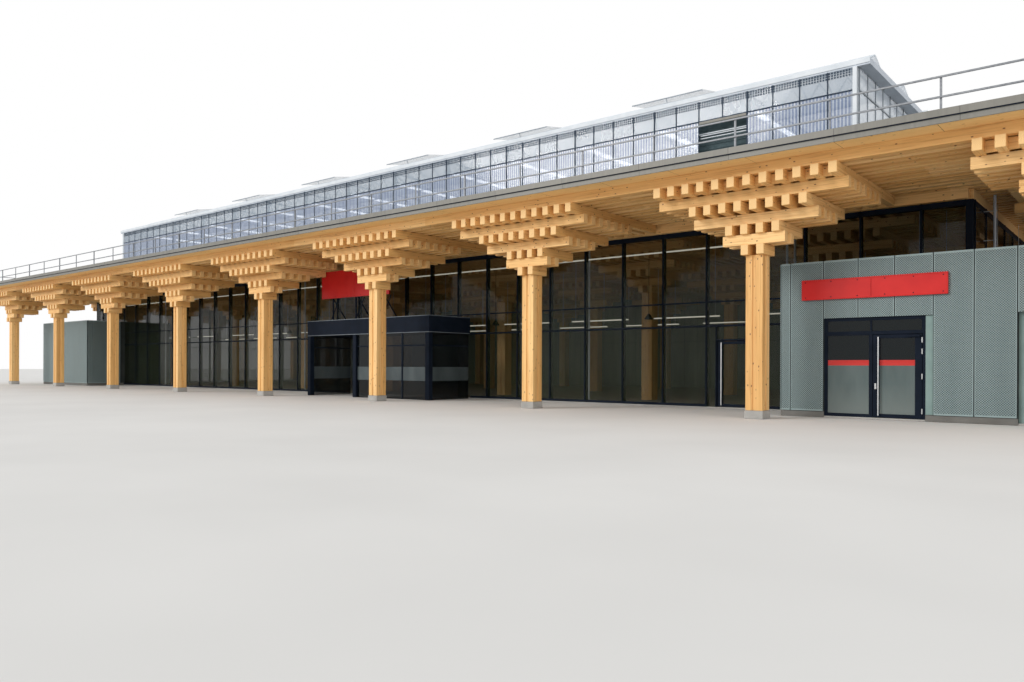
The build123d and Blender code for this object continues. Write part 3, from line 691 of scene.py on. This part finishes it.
def make_guard_rail():
    """Posts between the CAD posts, and a foot plate with two bolts under each one."""
    posts, feet = bmesh.new(), bmesh.new()
    rail_x, rail_y = ROOF_X - RAIL_SETBACK, ROOF_Y - RAIL_SETBACK
    plate_top, bolt_top, rail_foot = DECK_TOP + 0.008, DECK_TOP + 0.02, RAIL_TOP - 0.022
    for half, reach, other, along in ((14, rail_x, rail_y, "x"), (7, rail_y, rail_x, "y")):
        for i in range(2 * half + 1):
            for side in (-1, 1):
                spot = -reach + reach * i / half
                x, y = (spot, side * other) if along == "x" else (side * other, spot)
                block(feet, around(x, 0.04), around(y, 0.03), (DECK_TOP, plate_top))
                for bolt in (x - 0.027, x + 0.027):
                    bar(feet, (bolt, y, plate_top), (bolt, y, bolt_top), 0.014, 6)
                if i % 2:
                    block(posts, around(x, 0.01), around(y, 0.01), (plate_top, rail_foot))
    piece("guard_posts_between", posts, "galvanised", 0.002)
    piece("guard_post_feet", feet, "galvanised")


def make_roof_edge():
    """An upstand along the fascia, a dark strip under the fascia's step as a painted shadow, and a kerb round
    the greenhouse.
    """
    coping, painted_shadow_strip, kerb = bmesh.new(), bmesh.new(), bmesh.new()
    near, far, slit = 0.09, 0.042, 0.002
    upstand, shadow = (DECK_TOP, DECK_TOP + 0.09), (FASCIA_JOINT - 0.012, FASCIA_JOINT)
    kerb_x, kerb_y = HOUSE_END + HOUSE_GLASS, GLASS_LINE + HOUSE_GLASS
    rise, thick = (DECK_TOP, DECK_TOP + 0.12), 0.03
    for side in (-1, 1):
        block(coping, (far - ROOF_X, ROOF_X - far), mirrored(side, ROOF_Y - near, ROOF_Y - far), upstand)
        block(coping, mirrored(side, ROOF_X - near, ROOF_X - far), (0.1 - ROOF_Y, ROOF_Y - 0.1), upstand)
        # A dark strip on the lower tier just under the fascia's step: a painted shadow of the upper tier.
        deep = mirrored(side, ROOF_Y - FASCIA_STEP, ROOF_Y - slit)
        block(painted_shadow_strip, (slit - ROOF_X, ROOF_X - slit), deep, shadow)
        wide = mirrored(side, ROOF_X - FASCIA_STEP, ROOF_X - slit)
        block(painted_shadow_strip, wide, (0.022 - ROOF_Y, ROOF_Y - 0.022), shadow)
        run = HOUSE_END + 0.04
        block(kerb, (-run, run), mirrored(side, kerb_y, kerb_y + thick), rise)
        block(kerb, mirrored(side, kerb_x, kerb_x + thick), (-GLASS_LINE, GLASS_LINE), rise)
    piece("roof_edge_upstand", coping, "fascia_metal", 0.003)
    piece("fascia_painted_shadow", painted_shadow_strip, "dark_frame")
    piece("house_kerb", kerb, "fascia_metal", 0.003)


# Hall walls

def mullion_lines():
    """Places of the front mullions, counted both ways from the exit door."""
    left = int((HALL_END + EXIT_LEFT - 0.11) / MULLION_PITCH)
    right = int((HALL_END - EXIT_LEFT - 0.11) / MULLION_PITCH)
    return [EXIT_LEFT + MULLION_PITCH * i for i in range(-left, right + 1)]


def make_front_caps():
    """Clamping caps on the outside of the front glass: upright and along the transoms."""
    caps = bmesh.new()
    outer = GLASS_FACE - CAP_DEPTH
    face, lower_face = (outer, GLASS_FACE), (outer + 0.004, GLASS_FACE)
    for x in mullion_lines():
        bottom = PORCH_TOP if PORCH_LEFT < x < PORCH_RIGHT else FLOOR
        if abs(x) > BOX_INNER - 0.04:
            bottom = BOX_TOP
        block(caps, around(x, 0.015), face, (bottom, HEADER_BOTTOM))
    exit_right = EXIT_LEFT + MULLION_PITCH
    spans = ((-BOX_INNER, PORCH_LEFT), (PORCH_RIGHT, EXIT_LEFT), (exit_right, BOX_INNER - 0.06))
    for start, stop in spans:
        run = (start + CAP_GAP, stop - CAP_GAP)
        for level in (TRANSOM, HIGH_TRANSOM):
            block(caps, run, lower_face, around(level, CAP_HALF))
        block(caps, run, (outer + 0.002, GLASS_FACE), (FLOOR, FLOOR + 0.05))
    post = 0.012
    block(caps, around(DOOR_POST, post), face, (FLOOR, TRANSOM - CAP_HALF))
    head = (EXIT_HEAD + 0.008, EXIT_HEAD + 0.032)
    block(caps, (DOOR_POST + post, exit_right - CAP_GAP), face, head)
    for level in (TRANSOM, HIGH_TRANSOM):
        block(caps, (EXIT_LEFT + CAP_GAP, exit_right - CAP_GAP), lower_face, around(level, CAP_HALF))
    block(caps, (PORCH_LEFT, PORCH_RIGHT), lower_face, around(HIGH_TRANSOM, CAP_HALF))
    header = (HEADER_BOTTOM - 0.09, HEADER_BOTTOM - 0.008)
    block(caps, (-HALL_END + 0.06, HALL_END - 0.06), face, header)
    piece("front_glazing_caps", caps, "dark_frame", 0.002)


def make_side_caps():
    """Clamping caps on the outside of both end walls."""
    caps = bmesh.new()
    start, stop = FRAME_FACE + 0.11, REAR_FACE - 0.125
    count = round((stop - start) / MULLION_PITCH)
    header = (HEADER_BOTTOM - 0.09, HEADER_BOTTOM - 0.01)
    for side in (-1, 1):
        face = side * (HALL_END + 0.045 + HOUSE_GLASS)
        for i in range(count + 1):
            y = start + (stop - start) * i / count
            bottom = BOX_TOP if y < BOX_BACK + 0.04 else FLOOR
            block(caps, (face, face + side * CAP_DEPTH), around(y, 0.018), (bottom, HEADER_BOTTOM))
        for level in (FLOOR + 0.025, TRANSOM, HIGH_TRANSOM):
            block(caps, (face, face + side * 0.012), (BOX_BACK + 0.06, stop), around(level, CAP_HALF))
        block(caps, (face, face + side * 0.014), (start, stop), header)
    piece("side_glazing_caps", caps, "dark_frame", 0.002)


def make_downpipes():
    """Round rain pipes with clips: to the ground at the rear, to the service boxes' roofs in front."""
    pipes = bmesh.new()
    top, high_clip, clip_width = 3.82, 3.4, 0.02
    for side in (-1, 1):
        x, wall = side * (HALL_END + 0.24), side * (HALL_END + 0.075)
        for y, foot in ((FRAME_FACE + 0.77, BOX_TOP), (REAR_FACE - 0.5, 0.0)):
            bar(pipes, (x, y, foot), (x, y, top), 0.045, 12)
            for z in (foot + 0.4, high_clip):
                bar(pipes, (x, y, z), (x, y, z + clip_width), 0.056, 12)
                bar(pipes, (x, y, z + 0.01), (wall, y, z + 0.01), 0.01)
    piece("rain_pipes", pipes, "gutter_metal")


def make_hall_pipes():
    """A lit rail under the hall roof and upright white pipes, seen behind the front glass."""
    pipes, rail = bmesh.new(), bmesh.new()
    y, rail_level, rail_stop = FRAME_FACE + 0.35, 3.2, 12.9
    bar(rail, (-HALL_END + 0.2, y, rail_level), (rail_stop, y, rail_level), 0.032, 8)
    piece("hall_light_rail", rail, "hall_lamp")
    for x in (-11.0, -6.5, -2.2, 6.9, 8.4, 12.9, 13.05, 15.2):
        bar(pipes, (x, y + 0.06, FLOOR), (x, y + 0.06, HEADER_BOTTOM), 0.05, 8)
    piece("hall_pipes", pipes, "white_metal")


def make_pendants():
    """Black bell lamps on thin rods behind the front glass, one to a bay."""
    lamps = bmesh.new()
    first, y, z = 14.05, FRAME_FACE + 1.07, 1.86
    crown = 0.12
    for i in range(7):
        x = first - BAY * i
        bar(lamps, (x, y, z + crown), (x, y, CEILING), 0.012, 6)
        for low, high, foot, head in ((0.0, 0.07, 0.102, 0.06), (0.07, crown, 0.06, 0.018)):
            bmesh.ops.create_cone(
                lamps, cap_ends=True, segments=16, radius1=foot, radius2=head,
                depth=high - low, matrix=Matrix.Translation((x, y, z + (low + high) / 2)),
            )
    piece("hall_pendants", lamps, "dark_frame")


def make_hall_lamps():
    """Two rows of slim lit lamps inside the hall, hung on thin wires, two lamps to a bay."""
    lamps, wires = bmesh.new(), bmesh.new()
    level, top = 1.9, 1.925
    for i in range(7):
        for shift in (-1.1, 1.1):
            x = -END_LINE + BAY * (i + 1.5) + shift
            for y in (-4.9, -2.4):
                block(lamps, around(x, 0.8), around(y, 0.02), (level, top))
                for spot in around(x, 0.7):
                    bar(wires, (spot, y, top), (spot, y, CEILING), 0.008)
    piece("hall_lamps", lamps, "hall_lamp")
    piece("hall_lamp_wires", wires, "white_metal")


# Service boxes and the pick-up entrance

def make_box_trim():
    """Concrete plinth strips round the service boxes, darkened as painted shade, and the pale green reveal
    beside the door.
    """
    plinth, reveal = bmesh.new(), bmesh.new()
    rise, thick, gap = (0.0, 0.094), 0.02, 0.002
    front = (BOX_WALL_FACE - thick, BOX_WALL_FACE)
    beside_door = (PICKUP_RIGHT + gap, BOX_OUTER - 0.9)
    for run in ((-BOX_OUTER, -BOX_INNER), (BOX_INNER, PICKUP_LEFT - gap), beside_door):
        block(plinth, run, front, rise)
    for side in (-1, 1):
        for edge, out in ((BOX_OUTER, thick), (BOX_INNER, -0.012)):
            stop = BOX_BACK if out > 0 else GLASS_FACE - 0.03
            block(plinth, mirrored(side, edge, edge + out), (front[0], stop), rise)
        block(plinth, mirrored(side, HALL_END + 0.1, BOX_OUTER), (BOX_BACK, BOX_BACK + 0.012), rise)
    piece("box_plinths", plinth, "plinth_concrete_with_painted_shade", 0.003)
    wide = (PICKUP_RIGHT + gap, PICKUP_RIGHT + 0.104)
    block(reveal, wide, (BOX_WALL_FACE - 0.006, BOX_WALL_FACE), (0.1, PICKUP_TOP))
    piece("door_reveal", reveal, "door_paint", 0.002)


def make_pickup_details():
    """Lock, closer, hinges and glazing beads of the pick-up entrance."""
    face, bead = BOX_WALL_FACE, 0.012
    left, middle, right = PICKUP_LEFT + 0.04, PICKUP_MULLION, PICKUP_RIGHT - 0.04
    beads, deep = bmesh.new(), (face + 0.006, face + 0.014)
    fixed_pane = (middle - 0.02, 0.065, PICKUP_TRANSOM - 0.02)
    over_light = (right, PICKUP_TRANSOM + 0.02, PICKUP_TOP - 0.04)
    for stop, low, high in (fixed_pane, over_light):
        for x in (left, stop - bead):
            block(beads, (x, x + bead), deep, (low, high))
        for z in (low, high - bead):
            block(beads, (left + bead, stop - bead), deep, (z, z + bead))
    upper = (PICKUP_TRANSOM + 0.03, PICKUP_TOP - 0.05)
    block(beads, around(middle, bead), (face, face + 0.014), upper)
    piece("pickup_beads", beads, "dark_frame", 0.001)
    closer = bmesh.new()
    block(closer, (right - 0.2, right - 0.03), (face - 0.03, face - 0.002), (1.268, 1.298))
    piece("pickup_closer", closer, "dark_frame", 0.003, "pickup_door")
    lock = bmesh.new()
    x, keyhole = middle + 0.065, 0.52
    bar(lock, (x, face, keyhole), (x, face - 0.012, keyhole), 0.022, 12)
    block(lock, around(x, 0.014), (face - 0.004, face), (0.47, 0.56))
    piece("pickup_lock", lock, "steel", 0.001, "pickup_door")
    hinges = bmesh.new()
    pin = (PICKUP_RIGHT - 0.044, face - 0.012)
    for level in (0.148, 0.672, 1.05, 1.222):
        bar(hinges, (*pin, level - 0.04), (*pin, level + 0.04), 0.02, 12)
    piece("pickup_hinges", hinges, "steel", 0.0, "pickup_door")


# Porch

def make_porch_details():
    """Bars between the panes of the porch, and folded flashing round its canopy."""
    bars, flashing = bmesh.new(), bmesh.new()
    front, back, fold = BOX_FRONT, GLASS_FACE - 0.02, 0.006
    left, right = PORCH_LEFT + PORCH_SPLIT + PORCH_POST, PORCH_RIGHT - PORCH_POST
    rail, fascia_foot = (1.28, 1.31), PORCH_TOP - PORCH_FASCIA
    for i in (1, 2):
        x = left + (right - left) * i / 3
        block(bars, around(x, 0.02), (front + 0.04, front + 0.085), (0.0, fascia_foot))
    block(bars, (left, right), (front + 0.045, front + 0.08), rail)
    for x in (PORCH_LEFT + PORCH_POST / 2, PORCH_RIGHT - PORCH_POST / 2):
        block(bars, around(x, 0.02), (front + PORCH_POST, back), rail)
    piece("porch_bars", bars, "dark_frame", 0.003)
    for low in (PORCH_TOP - 0.012, fascia_foot):
        block(flashing, (PORCH_LEFT, PORCH_RIGHT + fold), (front - fold, front), (low, low + 0.012))
        block(flashing, (PORCH_RIGHT, PORCH_RIGHT + fold), (front, back), (low, low + 0.012))
    piece("porch_flashing", flashing, "end_bar")


def make_sign_details():
    """Folded rims and fixings of the red panels, with slanting braces behind the large one."""
    rims, studs, braces = bmesh.new(), bmesh.new(), bmesh.new()
    rim = 0.016
    for (left, right, low, high), front in ((SIGN, SIGN_FRONT), (PICKUP_SIGN, PICKUP_SIGN_FRONT)):
        face, rise = (front - 0.008, front), (low + rim, high - rim)
        for z in (low, high - rim):
            block(rims, (left, right), face, (z, z + rim))
        for x in (left, right - rim):
            block(rims, (x, x + rim), face, rise)
        block(rims, around((left + right) / 2, 0.003), face, rise)
        for i in range(6):
            x = left + 0.06 + (right - left - 0.12) * i / 5
            for z in (low + 0.04, high - 0.04):
                bar(studs, (x, front - 0.005, z), (x, front, z), 0.018, 8)
    piece("sign_rims", rims, "sign_red", 0.002)
    piece("sign_studs", studs, "dark_frame")
    left, right, foot = SIGN[:3]
    behind, seat = SIGN_FRONT + 0.055, PORCH_TOP + 0.01
    for part_of in (0.12, 0.5, 0.88):
        x = left + (right - left) * part_of
        bar(braces, (x, behind, foot + 0.1), (x, behind + 0.55, seat), 0.022)
        bar(braces, (x, behind, seat), (x + 0.35, behind, foot - 0.02), 0.018)
    piece("sign_braces", braces, "dark_frame")


# Greenhouse

def bay_lines():
    """Places of the greenhouse's girders along its length."""
    return [-HOUSE_END + HOUSE_BAY * i for i in range(HOUSE_BAYS + 1)]


def bar_lines(inset):
    """Places of the glazing bars along the greenhouse, the first and last set in a little."""
    reach = HOUSE_END - inset
    return [max(min(-HOUSE_END + HOUSE_PANEL * i, reach), -reach) for i in range(HOUSE_PANES + 1)]


def make_house_bars():
    """Thin upright bars and rails on the long walls, leaving the open window free."""
    bars = bmesh.new()
    face = GLASS_LINE + HOUSE_GLASS
    whole = (HOUSE_RISE,)
    parted = ((DECK_TOP, WINDOW_BOTTOM), (HOUSE_RAIL, GUTTER_BOTTOM))
    for i, x in enumerate(bar_lines(0.018)):
        half = (0.017 if i % HOUSE_PANELS else 0.024) / 2
        for side in (-1, 1):
            at_window = side < 0 and WINDOW_LEFT + 0.1 < x < WINDOW_RIGHT - 0.1
            for rise in parted if at_window else whole:
                block(bars, around(x, half), mirrored(side, face, face + 0.012), rise)
    for side in (-1, 1):
        for rise in ((HOUSE_RAIL, HOUSE_RAIL + 0.022), (WINDOW_BOTTOM - 0.02, WINDOW_BOTTOM)):
            block(bars, (-HOUSE_END, HOUSE_END), mirrored(side, face, face + 0.009), rise)
    piece("house_glazing_bars", bars, "glazing_bar")


def make_end_bars():
    """Thin upright bars and a rail on both ends of the greenhouse."""
    bars = bmesh.new()
    face = HOUSE_END + HOUSE_GLASS
    count = round(-2 * HOUSE_FRONT / HOUSE_PANEL)
    for side in (-1, 1):
        deep = mirrored(side, face, face + 0.014)
        for i in range(count + 1):
            y = HOUSE_FRONT - 2 * HOUSE_FRONT * i / count
            block(bars, deep, around(y, 0.009), HOUSE_RISE)
        block(bars, deep, (HOUSE_FRONT, -HOUSE_FRONT), (HOUSE_RAIL, HOUSE_RAIL + 0.022))
    piece("house_end_bars", bars, "end_bar")


def make_house_roof_bars():
    """Glazing bars and ridges of the six roof spans."""
    bars, ridges = bmesh.new(), bmesh.new()
    half = (HOUSE_SPAN - GUTTER_WIDTH) / 2
    for span in range(HOUSE_SPANS):
        y = HOUSE_FRONT + HOUSE_SPAN * (span + 0.5)
        bar(ridges, (-HOUSE_END, y, RIDGE_TOP), (HOUSE_END, y, RIDGE_TOP), 0.035)
        for x in bar_lines(0.009):
            for side in (-1, 1):
                low = (x, y + side * half, HOUSE_EAVES + 0.006)
                high = (x, y + side * 0.012, RIDGE_TOP + 0.004)
                bar(bars, low, high, 0.014)
    piece("roof_glazing_bars", bars, "white_metal")
    piece("house_ridges", ridges, "white_metal")


def make_vent_frames():
    """The grey lower rail of each open roof vent, and the stay that holds it up."""
    frames = bmesh.new()
    ridge_y = HOUSE_FRONT + HOUSE_SPAN / 2
    hinge_z = RIDGE_TOP + HOUSE_GLASS - 0.004
    fall = Matrix.Rotation(radians(VENT_TILT), 3, "X") @ Vector((0, -VENT_WIDTH, 0))
    reach = Vector((VENT_LENGTH / 2 - 0.01, 0, 0))
    for x in bay_lines()[2:-1:2]:
        middle = Vector((x, ridge_y, hinge_z)) + fall
        bar(frames, middle - reach, middle + reach, 0.02)
        bar(frames, middle, middle + Vector((0, 0.06, -0.13)), 0.012)
    piece("vent_frames", frames, "grey_steel")


def make_house_girders():
    """Grey lattice girders, one line at every bay, and a lattice along both long walls."""
    girders = bmesh.new()
    low, high = GUTTER_BOTTOM - 0.28, GUTTER_BOTTOM - 0.05
    inset, panels = 0.04, 6
    front = HOUSE_FRONT + inset
    step = (HOUSE_SPAN - 2 * inset) / panels
    for x in bay_lines():
        x = max(min(x, HOUSE_END - 0.05), -HOUSE_END + 0.05)
        for level in (low, high):
            bar(girders, (x, front, level), (x, -front, level), 0.024)
        for span in range(HOUSE_SPANS):
            start = HOUSE_FRONT + HOUSE_SPAN * span + inset
            for i in range(panels):
                first, last = (low, high) if i % 2 else (high, low)
                bar(girders, (x, start + step * i, first), (x, start + step * (i + 1), last), 0.014)
    foot, edge = HOUSE_RAIL + 0.03, 0.03
    for i in range(HOUSE_PANES):
        x = -HOUSE_END + HOUSE_PANEL * i
        for side in (-1, 1):
            y = side * (GLASS_LINE - 0.3)
            crown = (x + HOUSE_PANEL / 2, y, high)
            bar(girders, (x + edge, y, foot), crown, 0.012)
            bar(girders, crown, (x + HOUSE_PANEL - edge, y, foot), 0.012)
    piece("house_girders", girders, "grey_steel")


def make_growing_lamps():
    """One row of flat white lamps under each girder, running front to rear."""
    lamps = bmesh.new()
    level, pitch, length = GUTTER_BOTTOM - 0.34, 0.86, 0.78
    for x in bay_lines()[1:-1]:
        for i in range(14):
            y = HOUSE_FRONT + 0.15 + pitch * i
            block(lamps, around(x, 0.06), (y, y + length), (level, level + 0.035))
    piece("house_lamps", lamps, "lit_lamp", 0.004)


def make_growing_tubes():
    """White heating tubes along the long walls, with an upright branch at every panel but the window's."""
    tubes = bmesh.new()
    line, top = GLASS_LINE - 0.13, WINDOW_BOTTOM + 0.42
    window_panes = range(HOUSE_PANES - 6, HOUSE_PANES - 4)
    for i in range(HOUSE_PANES):
        x = -HOUSE_END + HOUSE_PANEL * (i + 0.8)
        for y in (-line, line):
            if y > 0 or i not in window_panes:
                bar(tubes, (x, y, DECK_TOP + 0.02), (x, y, top), 0.026, 6)
    for y in (-line, line):
        for level in (DECK_TOP + 0.05, top):
            bar(tubes, (-HOUSE_END + 0.05, y, level), (HOUSE_END - 0.05, y, level), 0.03, 6)
    piece("house_wall_tubes", tubes, "white_metal")


def make_house_eaves():
    """Dotted screen under the gutters, the corner posts and a lip along each gutter."""
    screen, corners = bmesh.new(), bmesh.new()
    wall = GLASS_LINE + HOUSE_GLASS
    top, row_pitch, columns = GUTTER_BOTTOM - 0.014, 0.046, 10
    pitch = HOUSE_PANEL / columns
    for side in (-1, 1):
        y = side * (wall + 0.003)
        for i in range(HOUSE_PANES * columns):
            x = -HOUSE_END + pitch * (i + 0.5)
            for row in range(3):
                z = top - row_pitch * row
                block(screen, around(x, 0.015), around(y, 0.002), (z - 0.03, z))
    piece("eaves_screen", screen, "glazing_bar")
    for side in (-1, 1):
        x = mirrored(side, HOUSE_END - 0.07, HOUSE_END + 0.004)
        for deep in (-1, 1):
            block(corners, x, mirrored(deep, wall, wall + 0.03), HOUSE_RISE)
    eave, line = HOUSE_END + EAVE_WIDTH, -HOUSE_FRONT + GUTTER_WIDTH / 2
    lip = (GUTTER_BOTTOM + 0.03, HOUSE_EAVES + 0.012)
    for side in (-1, 1):
        block(corners, (-eave, eave), mirrored(side, line, line + 0.012), lip)
    piece("house_corner_posts", corners, "white_metal", 0.004)


def make_window():
    """The open window of the front wall: head bar, double rail and the dark shade behind it."""
    left, right = WINDOW_LEFT, WINDOW_RIGHT
    head, rails, shade = bmesh.new(), bmesh.new(), bmesh.new()
    face = (-GLASS_LINE - HOUSE_GLASS - 0.02, -GLASS_LINE - 0.002)
    block(head, (left + 0.013, right - 0.013), face, (HOUSE_RAIL - 0.05, HOUSE_RAIL))
    piece("window_head", head, "fascia_metal", 0.002)
    y = -GLASS_LINE + 0.03
    for level in (5.40, 5.455):
        bar(rails, (left + 0.02, y, level), (right - 0.02, y, level), 0.022, 8)
    piece("window_rails", rails, "white_metal")
    run, inside = (left - 0.1, right + 0.1), -GLASS_LINE + 0.2
    block(shade, run, (inside, inside + 0.01), (WINDOW_BOTTOM - 0.1, HOUSE_RAIL + 0.05))
    for i in range(6):
        level = WINDOW_BOTTOM + 0.1 * i
        block(shade, run, (inside - 0.012, inside), (level, level + 0.012))
    piece("window_shade", shade, "shade_cloth")


# Setting: floor, light and camera

def make_stage():
    """A wide pale floor."""
    shape = bmesh.new()
    bmesh.ops.create_grid(shape, x_segments=1, y_segments=1, size=140.0)
    bmesh.ops.translate(shape, verts=shape.verts, vec=(0, 0, -0.003))
    cover = Finish("pale floor", Roughness=0.9, Specular_IOR_Level=0.1)
    clouds = cover.noise((0.4, 0.4, 0.4), 3.0)
    cover.colour(cover.blend(clouds, (0.70, 0.70, 0.69), (0.75, 0.75, 0.74)))
    build("floor", shape, cover.material)


def make_light():
    """An even white sky and two soft lamps, the right one weaker."""
    world = bpy.data.worlds.new("studio")
    scene.world = world
    world.use_nodes = True
    tree = world.node_tree
    path = tree.nodes.new("ShaderNodeLightPath")
    seen = path.outputs["Is Camera Ray"]
    for ray in ("Is Transmission Ray", "Is Glossy Ray"):
        either = tree.nodes.new("ShaderNodeMath")
        either.operation = "MAXIMUM"
        tree.links.new(seen, either.inputs[0])
        tree.links.new(path.outputs[ray], either.inputs[1])
        seen = either.outputs[0]
    strength = tree.nodes.new("ShaderNodeMapRange")
    strength.inputs["To Min"].default_value = 0.75
    strength.inputs["To Max"].default_value = 1.0
    tree.links.new(seen, strength.inputs["Value"])
    sky = tree.nodes["Background"]
    sky.inputs["Color"].default_value = (1.0, 1.0, 1.0, 1.0)
    tree.links.new(strength.outputs[0], sky.inputs["Strength"])
    lamps = (("left lamp", 1.5, 25, (-0.65, -1.0, 0.5)), ("right lamp", 0.75, 45, (1.0, -0.7, 0.35)))
    for name, energy, width, way in lamps:
        lamp = bpy.data.lights.new(name, "SUN")
        lamp.energy = energy
        lamp.angle = radians(width)
        lamp.color = (1.0, 0.98, 0.95)
        light = bpy.data.objects.new(name, lamp)
        light.rotation_euler = Vector(way).to_track_quat("Z", "Y").to_euler()
        scene.collection.objects.link(light)


def make_camera():
    """The photograph's viewpoint, at standing height in front of the right half."""
    lens = bpy.data.cameras.new("camera")
    lens.lens = 27.92
    lens.sensor_width = 36.0
    lens.shift_y = 0.0246
    lens.clip_end = 400.0
    camera = bpy.data.objects.new("camera", lens)
    camera.location = (18.485, -21.045, 0.805)
    camera.rotation_euler = (radians(90), radians(-0.2), radians(39.65))
    scene.collection.objects.link(camera)
    scene.camera = camera


finish_nodes()
make_capitals()
make_infill()
make_column_plates()
make_guard_rail()
make_roof_edge()
make_front_caps()
make_side_caps()
make_downpipes()
make_hall_pipes()
make_pendants()
make_hall_lamps()
make_box_trim()
make_pickup_details()
make_porch_details()
make_sign_details()
make_house_bars()
make_end_bars()
make_house_roof_bars()
make_vent_frames()
make_house_girders()
make_growing_lamps()
make_growing_tubes()
make_house_eaves()
make_window()
make_stage()
make_light()
make_camera()
scene.view_settings.view_transform = "Standard"
